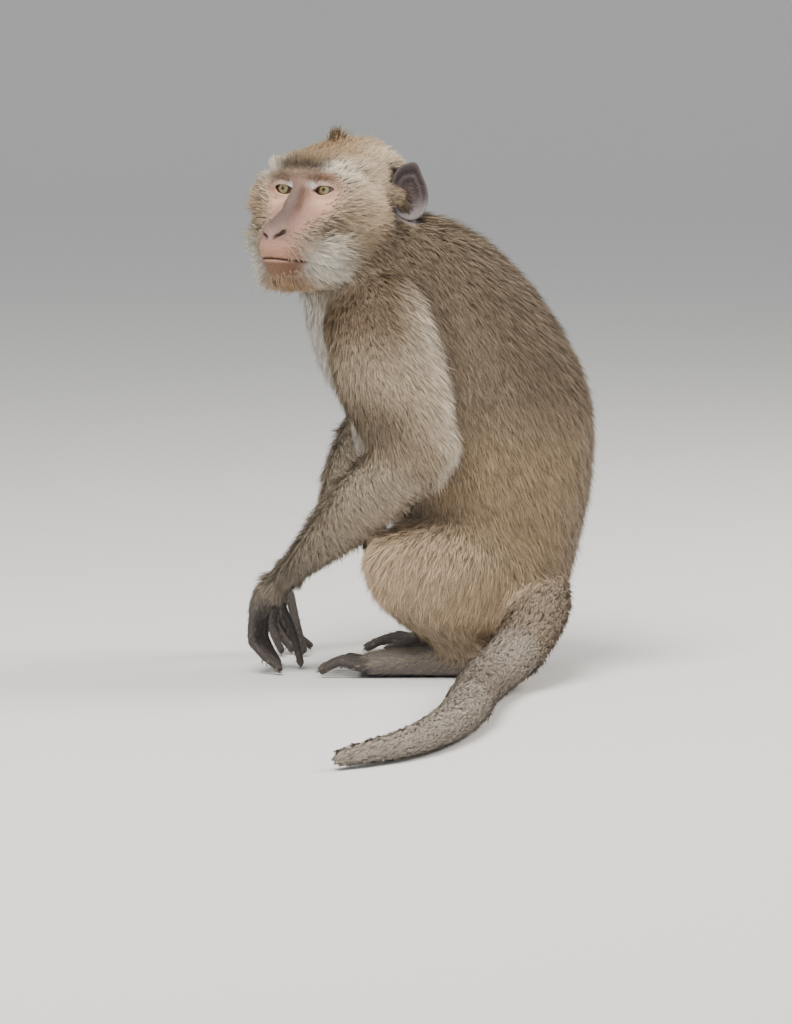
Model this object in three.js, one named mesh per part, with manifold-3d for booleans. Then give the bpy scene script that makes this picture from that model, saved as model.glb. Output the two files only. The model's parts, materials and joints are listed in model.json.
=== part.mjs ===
// A long-tailed macaque, life size, sitting in a deep crouch and looking over its left shoulder.
// Each named part of the body is one closed solid that reaches out to the tips of the coat.
// Frame: millimetres, +Z up, the trunk faces -Y and its left side is +X. The floor is z = 0.
import * as THREE from "three";
import { mergeVertices } from "three/addons/utils/BufferGeometryUtils.js";
import Module from "manifold-3d";

const wasm = await Module();
wasm.setup();

// ---- Driving dimensions ----
const GAP = 0.4; // the thin cut between two parts that meet
const HEAD_TURN = 70; // degrees that the head turns to the animal's left
const EYES_AT = [62, -92, 348]; // the point midway between the eyes
const EYE_RADIUS = 9.5;
const EYE_SPACING = 36; // centre to centre
const EYE_SETBACK = 8.5; // an eye's centre behind the plane of the face
const TAIL_LENGTH_PARTS = [0, 0.32, 0.66, 1]; // where the tail is parted
const DIGITS = 5;

const vec = (x, y, z) => new THREE.Vector3(x, y, z);
const radians = THREE.MathUtils.degToRad;

// ---- Shapes ----
// Every shape is a function of grow, which swells it by that many millimetres, so that a
// neighbour can be cut back from it with a clear gap.

// Vertices that the maker places, on the closed grid of a sphere: place(around, row) gives each one.
function closedGrid(sides, rows, place) {
  const grid = new THREE.SphereGeometry(1, sides, rows);
  const at = grid.attributes.position;
  for (let row = 0; row <= rows; row++)
    for (let side = 0; side <= sides; side++) {
      const around = (2 * Math.PI * (side % sides)) / sides;
      at.setXYZ(row * (sides + 1) + side, ...place(around, row));
    }
  return grid;
}

// A limb or trunk: elliptical rings along a smooth line through its stations.
// A station is [x, y, z, half width along the side direction, half depth across it].
// round gives how far each end bulges, as a share of its half depth: 0 is flat and 1 is a dome.
function limb(
  stations,
  { side = vec(1, 0, 0), sides = 12, rows = 8, domeRows = 2, round = [1, 1], span = [0, 1] },
) {
  const line = new THREE.CatmullRomCurve3(stations.map((s) => vec(s[0], s[1], s[2])));
  const girth = new THREE.CatmullRomCurve3(stations.map((s) => vec(s[3], s[4] ?? s[3], 0)));
  return (grow = 0) =>
    closedGrid(sides, rows + 2 * domeRows, (around, row) => {
      const along = THREE.MathUtils.clamp((row - domeRows) / rows, 0, 1);
      const t = THREE.MathUtils.lerp(span[0], span[1], along);
      const centre = line.getPoint(t);
      const ahead = line.getTangent(t);
      const across = side.clone().addScaledVector(ahead, -side.dot(ahead)).normalize();
      const over = across.clone().cross(ahead);
      const size = girth.getPoint(t);
      const before = row < domeRows;
      const past = before ? row : rows + 2 * domeRows - row;
      const lean = past >= domeRows ? Math.PI / 2 : (past / domeRows) * (Math.PI / 2);
      const bulge = (before ? -1 : 1) * (Math.cos(lean) > 1e-9 ? 1 : 0);
      const reach = round[before ? 0 : 1] * size.y * Math.cos(lean) + grow;
      centre.addScaledVector(ahead, bulge * reach);
      centre.addScaledVector(across, Math.cos(around) * (size.x + grow) * Math.sin(lean));
      centre.addScaledVector(over, Math.sin(around) * (size.y + grow) * Math.sin(lean));
      return centre.toArray();
    });
}

// ---- Solids ----
function solid(geometry) {
  const bare = geometry.index ? geometry.clone() : mergeVertices(geometry);
  for (const name of Object.keys(bare.attributes))
    if (name !== "position") bare.deleteAttribute(name);
  const merged = mergeVertices(bare, 1e-4);
  const corners = merged.index.array;
  const faces = [];
  for (let i = 0; i < corners.length; i += 3) {
    const [a, b, c] = corners.slice(i, i + 3);
    if (a !== b && b !== c && a !== c) faces.push(a, b, c);
  }
  const make = (list) =>
    new wasm.Manifold(
      new wasm.Mesh({
        numProp: 3,
        vertProperties: new Float32Array(merged.attributes.position.array),
        triVerts: new Uint32Array(list),
      }),
    );
  const made = make(faces);
  if (made.volume() > 0) return made;
  for (let i = 0; i < faces.length; i += 3) [faces[i + 1], faces[i + 2]] = [faces[i + 2], faces[i + 1]];
  return make(faces);
}

const FLOOR_BLOCK = solid(new THREE.BoxGeometry(2000, 2000, 400).translate(0, 0, -200));

// A part is its shape, cut back from the neighbours it meets and flat where it rests on the floor.
function part(shape, ...neighbours) {
  let body = solid(shape()).subtract(FLOOR_BLOCK);
  for (const neighbour of neighbours) body = body.subtract(solid(neighbour(GAP)));
  const pieces = body.decompose().sort((a, b) => b.volume() - a.volume());
  return pieces[0]; // a cut can leave a crumb beside the part itself
}

const group = new THREE.Group();
function add(name, body, colour, roughness = 0.9) {
  const mesh = body.getMesh();
  const geometry = new THREE.BufferGeometry()
    .setAttribute("position", new THREE.BufferAttribute(new Float32Array(mesh.vertProperties), 3))
    .setIndex(new THREE.BufferAttribute(new Uint32Array(mesh.triVerts), 1));
  geometry.computeVertexNormals();
  const material = new THREE.MeshStandardMaterial({ color: colour, roughness, metalness: 0 });
  const node = new THREE.Mesh(geometry, material);
  node.name = name;
  group.add(node);
  return body;
}

const FUR = "#8a7663";
const GREY_FUR = "#80736a";
const BARE_SKIN = "#b98d7c";
const DARK_SKIN = "#46404a";

// ---- Trunk and neck ----
const trunk = limb(
  [
    [0, 38, 32, 50, 38], // seat
    [0, 36, 82, 66, 60], // hips
    [0, 28, 132, 70, 82], // belly
    [0, 16, 182, 68, 92], // ribs
    [0, -4, 226, 66, 86], // chest
    [0, -38, 264, 62, 80], // shoulders
    [2, -66, 294, 52, 60], // root of the neck
  ],
  { sides: 20, rows: 13, round: [0.95, 0.5] },
);
const neck = limb(
  [
    [2, -60, 290, 50, 56],
    [6, -72, 312, 48, 54],
    [12, -78, 334, 42, 46],
  ],
  { sides: 16, rows: 3, domeRows: 1, round: [0.4, 0.4] },
);

// ---- Head ----
// In the head's own frame +X is the way it looks, +Y its left and +Z up, from between the eyes.
const headFrame = new THREE.Matrix4()
  .makeRotationZ(radians(HEAD_TURN - 90))
  .setPosition(...EYES_AT);

// Masses of the skull, muzzle and whiskers: centre, then half sizes, in the head's frame.
const BOTH_SIDES = [1, -1];
const HEAD_MASSES = [
  [-48, 0, -2, 50, 45, 36], // braincase
  [-68, 0, 3, 28, 43, 33], // hair on the back of the head
  [-5, 0, 13, 14, 38, 9], // brow ridge
  [-8, 0, -14, 14, 37, 24], // middle of the face
  [12, 0, -36, 30, 20, 20], // muzzle
  [24, 0, -46, 19, 18, 13], // lips
  [18, 0, -60, 19, 18, 17], // chin
  [-22, 0, -56, 40, 34, 22], // jaws and throat
  ...BOTH_SIDES.flatMap((s) => [
    [-20, s * 28, 8, 26, 19, 26], // temple
    [-15, s * 33, -10, 24, 17, 25], // cheekbone
    [0, s * 31, -42, 22, 19, 24], // whiskers beside the mouth
    [-34, s * 27, -38, 28, 21, 26], // whiskers along the jaw
  ]),
];
const NOSE = { from: vec(1, 0, -6), to: vec(33, 0, -34), thin: 6, thick: 7 };
const CREST = { from: vec(-34, 0, 26), to: vec(-37, 0, 43), thin: 10, thick: 5 };
const SOCKETS = BOTH_SIDES.map((s) => [8, (s * EYE_SPACING) / 2, 0, 10, 12.5, 9]);
const BLEND = 11; // how far one mass melts into the next

// Distance from a point to an ellipsoid's surface, near enough close to it.
function toEllipsoid(p, [x, y, z, a, b, c]) {
  const q = vec(p.x - x, p.y - y, p.z - z);
  const share = Math.hypot(q.x / a, q.y / b, q.z / c);
  const slope = Math.hypot(q.x / a / a, q.y / b / b, q.z / c / c) || 1 / Math.min(a, b, c);
  return (share * (share - 1)) / slope;
}
// Distance to a rod that tapers from one end to the other.
function toRod(p, { from, to, thin, thick }) {
  const line = to.clone().sub(from);
  const t = THREE.MathUtils.clamp(p.clone().sub(from).dot(line) / line.lengthSq(), 0, 1);
  return p.distanceTo(from.clone().addScaledVector(line, t)) - THREE.MathUtils.lerp(thin, thick, t);
}
function melt(a, b, reach) {
  const h = Math.max(reach - Math.abs(a - b), 0) / reach;
  return Math.min(a, b) - (h * h * reach) / 4;
}
function headDistance(p) {
  let d = HEAD_MASSES.map((mass) => toEllipsoid(p, mass)).reduce((a, b) => melt(a, b, BLEND));
  d = melt(d, toRod(p, NOSE), 5);
  d = melt(d, toRod(p, CREST), 6);
  for (const socket of SOCKETS) d = -melt(-d, toEllipsoid(p, socket), 5);
  return d;
}

// The head's surface as seen from its middle, closest together over the face.
const HEAD_MIDDLE = vec(-22, 0, -14);
const HEAD_SIDES = 32;
const HEAD_ROWS = 20;
const head = (grow = 0) =>
  closedGrid(HEAD_SIDES, HEAD_ROWS, (around, row) => {
    const turn = around - 0.5 * Math.sin(around);
    const fall = (Math.PI * row) / HEAD_ROWS;
    const way = vec(Math.sin(fall) * Math.cos(turn), Math.sin(fall) * Math.sin(turn), Math.cos(fall));
    let far = 130;
    while (headDistance(HEAD_MIDDLE.clone().addScaledVector(way, far)) > grow) far -= 1;
    let near = far;
    far += 1;
    for (let i = 0; i < 12; i++) {
      const mid = (near + far) / 2;
      if (headDistance(HEAD_MIDDLE.clone().addScaledVector(way, mid)) > grow) far = mid;
      else near = mid;
    }
    return HEAD_MIDDLE.clone().addScaledVector(way, near).applyMatrix4(headFrame).toArray();
  });

const eye = (side) => (grow = 0) =>
  new THREE.SphereGeometry(EYE_RADIUS + grow, 12, 8)
    .translate(-EYE_SETBACK, (side * EYE_SPACING) / 2, 0)
    .applyMatrix4(headFrame);

// An ear is a thin cup: a flattened egg with a smaller one taken out of its front.
const EAR = { height: 21, width: 14, depth: 7, back: -71, out: 42, low: -4, turnOut: -35, lean: -14 };
function earEgg(side, shrink, shift, grow) {
  return closedGrid(12, 8, (around, row) => {
    const fall = (Math.PI * row) / 8;
    const point = 1 - 0.35 * Math.max(0, Math.cos(fall)) ** 3; // a blunt point at the top
    return [
      Math.sin(fall) * Math.cos(around) * (EAR.width - shrink + grow) * point,
      Math.sin(fall) * Math.sin(around) * (EAR.depth - shrink * 0.4 + grow) + shift,
      Math.cos(fall) * (EAR.height - shrink + grow),
    ];
  })
    .rotateY(radians(EAR.lean))
    .rotateZ(radians(EAR.turnOut))
    .scale(1, side, 1)
    .translate(EAR.back, side * EAR.out, EAR.low)
    .applyMatrix4(headFrame);
}
const ear = (side) => (grow = 0) => earEgg(side, 0, 0, grow);
const earCup = (side) => () => earEgg(side, 3.5, 6, 0);

// ---- Arms ----
const ARMS = {
  left: {
    upper: [
      [44, -46, 274, 30, 40],
      [64, -36, 244, 32, 42],
      [76, -24, 210, 31, 41],
      [88, -6, 184, 26, 36],
      [93, 10, 168, 20, 24],
    ],
    fore: [
      [92, 8, 166, 20, 22],
      [88, -30, 142, 22, 27],
      [78, -66, 106, 18, 20],
      [70, -95, 80, 14, 14],
      [64, -115, 62, 12, 10],
    ],
    hand: { wrist: [64, -114, 61], knuckles: [62, -125, 45], fingers: [60, -117, 3.5] },
  },
  right: {
    upper: [
      [-42, -50, 274, 30, 40],
      [-60, -56, 244, 32, 40],
      [-76, -68, 208, 29, 34],
      [-87, -78, 182, 24, 28],
      [-91, -82, 173, 20, 22],
    ],
    fore: [
      [-89, -78, 173, 20, 22],
      [-80, -92, 142, 22, 25],
      [-62, -102, 104, 18, 19],
      [-46, -122, 74, 14, 14],
      [-40, -133, 60, 13, 11],
    ],
    hand: { wrist: [-40, -131, 58], knuckles: [-38, -140, 44], fingers: [-37, -132, 3.5] },
  },
};
const UPPER_ARM_SIDES = { sides: 12, rows: 6, round: [0.6, 0.8] };
const FOREARM_SIDES = { sides: 12, rows: 6, domeRows: 1, round: [0.8, 0.3] };

// A digit bends from its knuckle down to a flat fingertip.
function digit(base, bend, tip, thick) {
  return limb(
    [
      [...base, thick, thick],
      [...bend, thick * 0.92, thick * 0.92],
      [...tip, thick * 0.8, thick * 0.8],
    ],
    { sides: 6, rows: 4, domeRows: 1, round: [0.6, 1] },
  );
}

function handShapes({ wrist, knuckles, fingers }, side) {
  const palm = limb(
    [
      [...wrist, 12, 10],
      [(wrist[0] + knuckles[0]) / 2, (wrist[1] + knuckles[1]) / 2 - 2, (wrist[2] + knuckles[2]) / 2 + 2, 16, 9],
      [...knuckles, 18, 8],
    ],
    { sides: 10, rows: 4, domeRows: 1, round: [0.5, 0.8] },
  );
  const digits = [];
  for (let i = 0; i < DIGITS - 1; i++) {
    const across = side * (i - 1.5); // from the index finger by the thumb to the little finger outside
    const long = 1 - 0.12 * Math.abs(i - 1.3);
    digits.push(
      digit(
        [knuckles[0] + across * 9.6, knuckles[1], knuckles[2]],
        [knuckles[0] + across * 11, knuckles[1] - 2 * long, knuckles[2] * 0.5],
        [fingers[0] + across * 12, fingers[1] + 4 * i, fingers[2]],
        5.1,
      ),
    );
  }
  digits.push(
    digit(
      [wrist[0] - side * 9, wrist[1] + 1, wrist[2] - 12],
      [wrist[0] - side * 17, wrist[1] + 8, wrist[2] - 32],
      [wrist[0] - side * 18, wrist[1] + 15, fingers[2]],
      5.2,
    ),
  );
  return { palm, digits };
}

// ---- Legs ----
const LEG = {
  thigh: [
    [34, 54, 68, 34, 46],
    [54, 26, 78, 34, 46],
    [70, -6, 84, 30, 36],
    [80, -24, 84, 26, 27],
  ],
  shank: [
    [79, -22, 72, 20, 20],
    [74, -6, 52, 20, 20],
    [64, 16, 34, 16, 16],
    [54, 32, 22, 13, 13],
  ],
  foot: [
    [50, 38, 13, 13, 15],
    [54, 14, 12, 14, 15],
    [60, -16, 10, 17, 12],
    [66, -42, 8, 19, 10],
  ],
  toes: { at: [66, -44, 7], spacing: 9.8, length: 36, thick: 5.1 },
  bigToe: { base: [49, -22, 9], bend: [39, -38, 11], tip: [35, -56, 6] },
};
const mirror = (stations) => stations.map(([x, ...rest]) => [-x, ...rest]);

function toeShapes(side) {
  const { at, spacing, length, thick } = LEG.toes;
  const toes = [];
  for (let i = 0; i < DIGITS - 1; i++) {
    const across = side * (i - 1.5);
    const long = length * (1 - 0.1 * Math.abs(i - 1.2));
    const x = side * at[0] + across * spacing;
    toes.push(
      digit(
        [x, at[1], at[2]],
        [x + across * 1.5, at[1] - long * 0.55, at[2] + 4],
        [x + across * 2, at[1] - long, 3.4],
        thick,
      ),
    );
  }
  const big = [LEG.bigToe.base, LEG.bigToe.bend, LEG.bigToe.tip].map(([x, y, z]) => [side * x, y, z]);
  toes.push(digit(...big, thick * 1.2));
  return toes;
}

// ---- Tail ----
const TAIL = [
  [6, 58, 72, 24],
  [34, 76, 58, 23],
  [70, 80, 42, 21.5],
  [108, 76, 26, 19.5],
  [150, 71, 17.5, 18.5],
  [218, 77, 16, 17],
  [297, 90, 15.5, 16.5],
  [378, 96, 12.8, 13.8],
  [453, 85, 10, 11],
  [502, 57, 7, 8],
];
const tailLength = (i, round) =>
  limb(TAIL, {
    side: vec(0, 0, 1),
    sides: 12,
    rows: 7,
    domeRows: i === 2 ? 2 : 1,
    round,
    span: [TAIL_LENGTH_PARTS[i] + (i ? 0.0007 : 0), TAIL_LENGTH_PARTS[i + 1]],
  });

// ---- The animal ----
const sideOf = { left: 1, right: -1 };
add("trunk", part(trunk), FUR);
add("neck", part(neck, trunk, head), FUR);

let headBody = solid(head()).subtract(solid(trunk(GAP)));
for (const side of Object.values(sideOf)) headBody = headBody.subtract(solid(eye(side)(GAP)));
add("head", headBody, FUR);

for (const [name, s] of Object.entries(sideOf)) {
  add("eye_" + name, solid(eye(s)()), "#8c7a45", 0.1);
  add("ear_" + name, part(ear(s), head, neck, trunk, earCup(s)), DARK_SKIN);

  const arm = ARMS[name];
  const upper = limb(arm.upper, UPPER_ARM_SIDES);
  const fore = limb(arm.fore, FOREARM_SIDES);
  const thigh = limb(s > 0 ? LEG.thigh : mirror(LEG.thigh), { sides: 12, rows: 5, round: [0.6, 0.9] });
  const shank = limb(s > 0 ? LEG.shank : mirror(LEG.shank), { sides: 10, rows: 4, round: [0.9, 0.5] });
  const foot = limb(s > 0 ? LEG.foot : mirror(LEG.foot), { sides: 10, rows: 5, round: [0.9, 0.7] });
  const { palm, digits } = handShapes(arm.hand, s);
  const toes = toeShapes(s);

  add("upper_arm_" + name, part(upper, trunk, neck, head), FUR);
  add("forearm_" + name, part(fore, upper, trunk, thigh), FUR);
  add("hand_" + name, part(palm, fore), DARK_SKIN);
  digits.forEach((finger, i) =>
    add(`finger_${name}_${i + 1}`, part(finger, palm, fore, ...digits.slice(0, i)), DARK_SKIN),
  );

  add("thigh_" + name, part(thigh, trunk), FUR);
  add("shank_" + name, part(shank, thigh, trunk), GREY_FUR);
  add("foot_" + name, part(foot, shank, thigh, trunk), DARK_SKIN);
  toes.forEach((toe, i) =>
    add(`toe_${name}_${i + 1}`, part(toe, foot, ...toes.slice(0, i)), DARK_SKIN),
  );

  if (name === "left") {
    const roots = [trunk, thigh, shank, foot];
    add("tail_root", part(tailLength(0, [0, 0]), ...roots), GREY_FUR);
    add("tail_middle", part(tailLength(1, [0, 0])), GREY_FUR);
    add("tail_tip", part(tailLength(2, [0, 1])), GREY_FUR);
  }
}

// The origin is the middle of the footprint, on the floor.
const box = new THREE.Box3().setFromObject(group);
group.position.set(-(box.min.x + box.max.x) / 2, -(box.min.y + box.max.y) / 2, 0);

export default group;
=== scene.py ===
# %% [markdown]
# # A long-tailed macaque, sitting and looking over its shoulder
#
# This lesson dresses the plain solids of a sitting monkey as a museum would: bare skin with a real
# face, glass-like eyes, nails, and a coat of short hair made as a mesh.
# The solids give every place and size, so nothing here is placed by eye on its own.

# %% Load the frame
import json
import math

import bpy
import numpy as np
import openvdb as vdb
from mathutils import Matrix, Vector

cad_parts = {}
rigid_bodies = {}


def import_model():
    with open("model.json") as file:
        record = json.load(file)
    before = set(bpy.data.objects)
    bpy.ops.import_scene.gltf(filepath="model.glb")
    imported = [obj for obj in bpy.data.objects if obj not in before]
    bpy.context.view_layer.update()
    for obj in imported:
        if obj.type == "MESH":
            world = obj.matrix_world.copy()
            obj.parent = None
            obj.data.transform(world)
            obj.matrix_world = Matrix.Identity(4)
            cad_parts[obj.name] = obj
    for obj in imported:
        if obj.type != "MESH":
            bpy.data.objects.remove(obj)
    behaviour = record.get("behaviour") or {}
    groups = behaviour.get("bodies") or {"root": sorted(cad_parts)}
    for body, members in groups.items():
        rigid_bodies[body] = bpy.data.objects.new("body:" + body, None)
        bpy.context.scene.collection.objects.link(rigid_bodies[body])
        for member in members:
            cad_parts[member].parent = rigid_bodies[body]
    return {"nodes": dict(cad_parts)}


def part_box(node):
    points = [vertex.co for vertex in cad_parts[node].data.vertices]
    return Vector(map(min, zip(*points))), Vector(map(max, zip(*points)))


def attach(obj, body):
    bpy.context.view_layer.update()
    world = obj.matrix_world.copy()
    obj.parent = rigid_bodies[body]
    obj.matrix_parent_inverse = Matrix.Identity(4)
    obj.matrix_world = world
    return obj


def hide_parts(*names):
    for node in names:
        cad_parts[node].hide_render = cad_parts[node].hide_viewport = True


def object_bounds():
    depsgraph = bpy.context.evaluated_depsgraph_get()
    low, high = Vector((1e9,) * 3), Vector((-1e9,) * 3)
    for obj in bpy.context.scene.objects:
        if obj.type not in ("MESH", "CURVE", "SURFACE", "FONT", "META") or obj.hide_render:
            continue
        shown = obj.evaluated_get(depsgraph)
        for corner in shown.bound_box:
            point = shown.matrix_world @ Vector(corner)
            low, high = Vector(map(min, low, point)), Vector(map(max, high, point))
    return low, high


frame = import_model()
cad_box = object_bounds()
LOW, HIGH = np.array(cad_box[0]), np.array(cad_box[1])
print("solids:", len(frame["nodes"]), "box in mm:", np.round((HIGH - LOW) * 1000, 1))

# %% [markdown]
# ## Small tools
#
# Colours are written as the hex values that a painter would pick on a screen. A renderer works in
# linear light, so one function turns them over. A few more add shader nodes with their settings
# and links, which keeps every material short.

# %% Colour and node helpers
def linear(hex_colour):
    """An sRGB hex colour as linear red, green and blue."""
    channels = [int(hex_colour[i:i + 2], 16) / 255 for i in (1, 3, 5)]
    return np.array([c / 12.92 if c <= 0.04045 else ((c + 0.055) / 1.055) ** 2.4 for c in channels])


def add_node(tree, kind, settings=None, **inputs):
    """Add a shader node. Settings are its properties, inputs its values or the sockets they come from."""
    node = tree.nodes.new(kind)
    for name, value in (settings or {}).items():
        setattr(node, name, value)
    for name, value in inputs.items():
        key = int(name[1:]) if name[0] == "_" and name[1:].isdigit() else name.replace("_", " ")
        socket = node.inputs[key]
        if isinstance(value, bpy.types.NodeSocket):
            tree.links.new(value, socket)
        else:
            socket.default_value = value
    return node


def new_material(name):
    """A material with an empty tree."""
    material = bpy.data.materials.new(name)
    material.use_nodes = True
    material.node_tree.nodes.clear()
    return material, material.node_tree


def attribute(tree, name):
    """The node that reads a value kept on the mesh."""
    return add_node(tree, "ShaderNodeAttribute", {"attribute_name": name})


def varied(tree, colour, noise, low, high):
    """A colour made darker and lighter by a noise, between two shares of itself."""
    spread = add_node(tree, "ShaderNodeMapRange", Value=noise.outputs["Fac"], _3=low, _4=high)
    return add_node(tree, "ShaderNodeVectorMath", {"operation": "SCALE"}, _0=colour,
                    Scale=spread.outputs["Result"]).outputs[0]


def give_surface(tree, **inputs):
    """End a material's tree with the shader of its surface."""
    shader = add_node(tree, "ShaderNodeBsdfPrincipled", **inputs)
    add_node(tree, "ShaderNodeOutputMaterial", Surface=shader.outputs[0])


def unit(vectors):
    """Vectors scaled to length one."""
    vectors = np.asarray(vectors, float)
    return vectors / np.maximum(np.linalg.norm(vectors, axis=-1, keepdims=True), 1e-12)

# %% [markdown]
# ## Where the head is
#
# The two eye solids give the head's own frame: the line between them runs to the animal's left,
# and the way it looks is level and square to that line. Everything on the face is then written in
# millimetres from the point between the eyes: x forward, y to its left, z up.

# %% The head's frame
MM = 1000.0
EYE_RADIUS = 9.5
EYE_SETBACK = 8.5


def middle(node):
    """The middle of a solid's box, in millimetres."""
    return (np.array(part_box(node)[0]) + np.array(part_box(node)[1])) / 2 * MM


UP = np.array([0.0, 0.0, 1.0])
eye_left, eye_right = middle("eye_left"), middle("eye_right")
HEAD_LEFT = unit(eye_left - eye_right)
HEAD_AHEAD = np.cross(HEAD_LEFT, UP)
HEAD_AXES = np.stack([HEAD_AHEAD, HEAD_LEFT, UP])
HEAD_ORIGIN = (eye_left + eye_right) / 2 + EYE_SETBACK * HEAD_AHEAD
HALF_EYES = np.linalg.norm(eye_left - eye_right) / 2


def to_head(points):
    """World millimetres to the head's frame."""
    return (points - HEAD_ORIGIN) @ HEAD_AXES.T


def from_head(points):
    """The head's frame to world millimetres."""
    return np.asarray(points, float) @ HEAD_AXES + HEAD_ORIGIN


print("eyes", round(2 * HALF_EYES, 1), "mm apart; the head looks along", np.round(HEAD_AHEAD, 2))

# %% [markdown]
# ## Camera, light and floor
#
# The animal is seen from its left and a little behind, from just above its own height and through
# a long lens, so the far side isn't much smaller than the near one. The camera is built first,
# because the rest is judged through it. Light comes from large soft sources: a key from the upper
# left behind the camera, a weaker fill, and a rim light that shows the tips of the coat.

# %% Camera
CAMERA_AZIMUTH = math.radians(105)
CAMERA_HEIGHT = math.radians(6)
CAMERA_DISTANCE = 4.0
TRUNK_LOW, TRUNK_HIGH = np.array(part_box("trunk")[0]), np.array(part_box("trunk")[1])
TRUNK_MIDDLE = (TRUNK_LOW[0] + TRUNK_HIGH[0]) / 2
AIM = np.array([TRUNK_MIDDLE + 0.0407, TRUNK_LOW[1] + 0.0821, 0.1158])
LENS = 195.3
SENSOR = 36
FAR_CLIP = 30

view = np.array([
    math.sin(CAMERA_AZIMUTH) * math.cos(CAMERA_HEIGHT),
    -math.cos(CAMERA_AZIMUTH) * math.cos(CAMERA_HEIGHT),
    math.sin(CAMERA_HEIGHT),
])
bpy.ops.object.camera_add(location=tuple(AIM + CAMERA_DISTANCE * view))
camera = bpy.context.object
camera.rotation_euler = (math.pi / 2 - CAMERA_HEIGHT, 0, CAMERA_AZIMUTH)
camera.data.lens = LENS
camera.data.sensor_width = SENSOR
camera.data.clip_end = FAR_CLIP
bpy.context.scene.camera = camera
print("camera at", np.round(camera.location, 3))

# %% [markdown]
# ## Shapes as distances
#
# Flesh has no hard joins: a lip runs into a muzzle and a thigh into a rump. Such a body could be
# sculpted by hand, but it can also be written as a distance field, in which every point of space
# knows how far it is from the surface. Fields add up with soft joins, and cutting a mouth or a
# nostril is one line. A level set then turns the field into a closed mesh.

# %% Field helpers
def soft_min(a, b, reach):
    """The nearer of two surfaces, melting where they come within reach of each other."""
    overlap = np.maximum(reach - np.abs(a - b), 0) / reach
    return np.minimum(a, b) - overlap * overlap * reach / 4


def soft_max(a, b, reach):
    """What two solids share, with the edge rounded over reach."""
    return -soft_min(-a, -b, reach)


def egg(points, centre, radii):
    """Distance to an ellipsoid."""
    offset = points - np.array(centre, np.float32)
    radii = np.array(radii, np.float32)
    near = np.linalg.norm(offset / radii, axis=-1)
    slope = np.linalg.norm(offset / radii ** 2, axis=-1)
    return near * (near - 1) / np.maximum(slope, 1e-6)


def rod(points, start, end, thin, thick):
    """Distance to a round rod that goes from one radius to another."""
    start, end = np.array(start, np.float32), np.array(end, np.float32)
    along = end - start
    share = np.clip((points - start) @ along / (along @ along), 0, 1)
    away = points - start - share[..., None] * along
    return np.linalg.norm(away, axis=-1) - (thin + (thick - thin) * share)


def grid_points(low, high, step):
    """The points of a grid in millimetres, with its shape."""
    axes = [np.arange(low[i], high[i] + step, step, dtype=np.float32) for i in range(3)]
    return np.stack(np.meshgrid(*axes, indexing="ij"), -1)


def sample(values, low, step, points):
    """Read a grid of values between its points."""
    place = np.clip((points - low) / step, 0, np.array(values.shape[:3]) - 1.001)
    cell = place.astype(int)
    part = place - cell
    total = 0
    for corner in range(8):
        i, j, k = corner >> 2 & 1, corner >> 1 & 1, corner & 1
        weight = np.abs(1 - i - part[..., 0]) * np.abs(1 - j - part[..., 1]) * np.abs(1 - k - part[..., 2])
        read = values[cell[..., 0] + i, cell[..., 1] + j, cell[..., 2] + k]
        total = total + (weight if read.ndim == weight.ndim else weight[..., None]) * read
    return total


def blurred(values, width):
    """A grid softened by a bell curve, width in cells."""
    reach = int(np.ceil(2.5 * width))
    bell = np.exp(-0.5 * (np.arange(-reach, reach + 1) / width) ** 2)
    bell /= bell.sum()
    for axis in range(3):
        padded = np.pad(values, [(reach, reach) if a == axis else (0, 0) for a in range(3)], "edge")
        count = values.shape[axis]
        values = sum(b * np.take(padded, range(i, i + count), axis) for i, b in enumerate(bell))
    return values.astype(np.float32)

# %% [markdown]
# ## Meshes from fields
#
# Each field is drawn on its own grid, coarse for the body under its coat, fine for the face, the
# ears, the hands and the feet. Each mesh that comes out is closed, and its faces look outwards.

# %% Mesh helpers
def select_only(*objects):
    """Deselect all and select these, the first of them active."""
    bpy.ops.object.select_all(action="DESELECT")
    for item in objects:
        item.select_set(True)
    bpy.context.view_layer.objects.active = objects[0]


def place_points(mesh, points):
    """Put a mesh's points at these places, in millimetres."""
    mesh.vertices.foreach_set("co", np.ascontiguousarray(points / MM, np.float32).ravel())


def mesh_piece(name, points, faces):
    """A new mesh object. Points are in millimetres, faces all have as many corners."""
    mesh = bpy.data.meshes.new(name)
    faces = np.ascontiguousarray(faces, np.int32)
    mesh.vertices.add(len(points))
    place_points(mesh, points)
    mesh.loops.add(faces.size)
    mesh.loops.foreach_set("vertex_index", faces.ravel())
    mesh.polygons.add(len(faces))
    mesh.polygons.foreach_set("loop_start", np.arange(0, faces.size, faces.shape[1], dtype=np.int32))
    mesh.update(calc_edges=True)
    piece = bpy.data.objects.new(name, mesh)
    bpy.context.collection.objects.link(piece)
    return piece


def points_of(piece):
    """A mesh's points in millimetres."""
    flat = np.empty(len(piece.data.vertices) * 3, np.float32)
    piece.data.vertices.foreach_get("co", flat)
    return flat.reshape(-1, 3) * MM


def normals_of(piece):
    """The normal at each of a mesh's points."""
    flat = np.empty(len(piece.data.vertices) * 3, np.float32)
    piece.data.vertex_normals.foreach_get("vector", flat)
    return flat.reshape(-1, 3)


def store(piece, name, kind, values):
    """Keep a number, a vector or a colour at each of a mesh's points."""
    layers = piece.data.color_attributes if kind == "FLOAT_COLOR" else piece.data.attributes
    key = {"FLOAT": "value", "FLOAT_VECTOR": "vector", "FLOAT_COLOR": "color"}[kind]
    kept = layers.new(name, kind, "POINT")
    kept.data.foreach_set(key, np.ascontiguousarray(values, np.float32).ravel())


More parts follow.
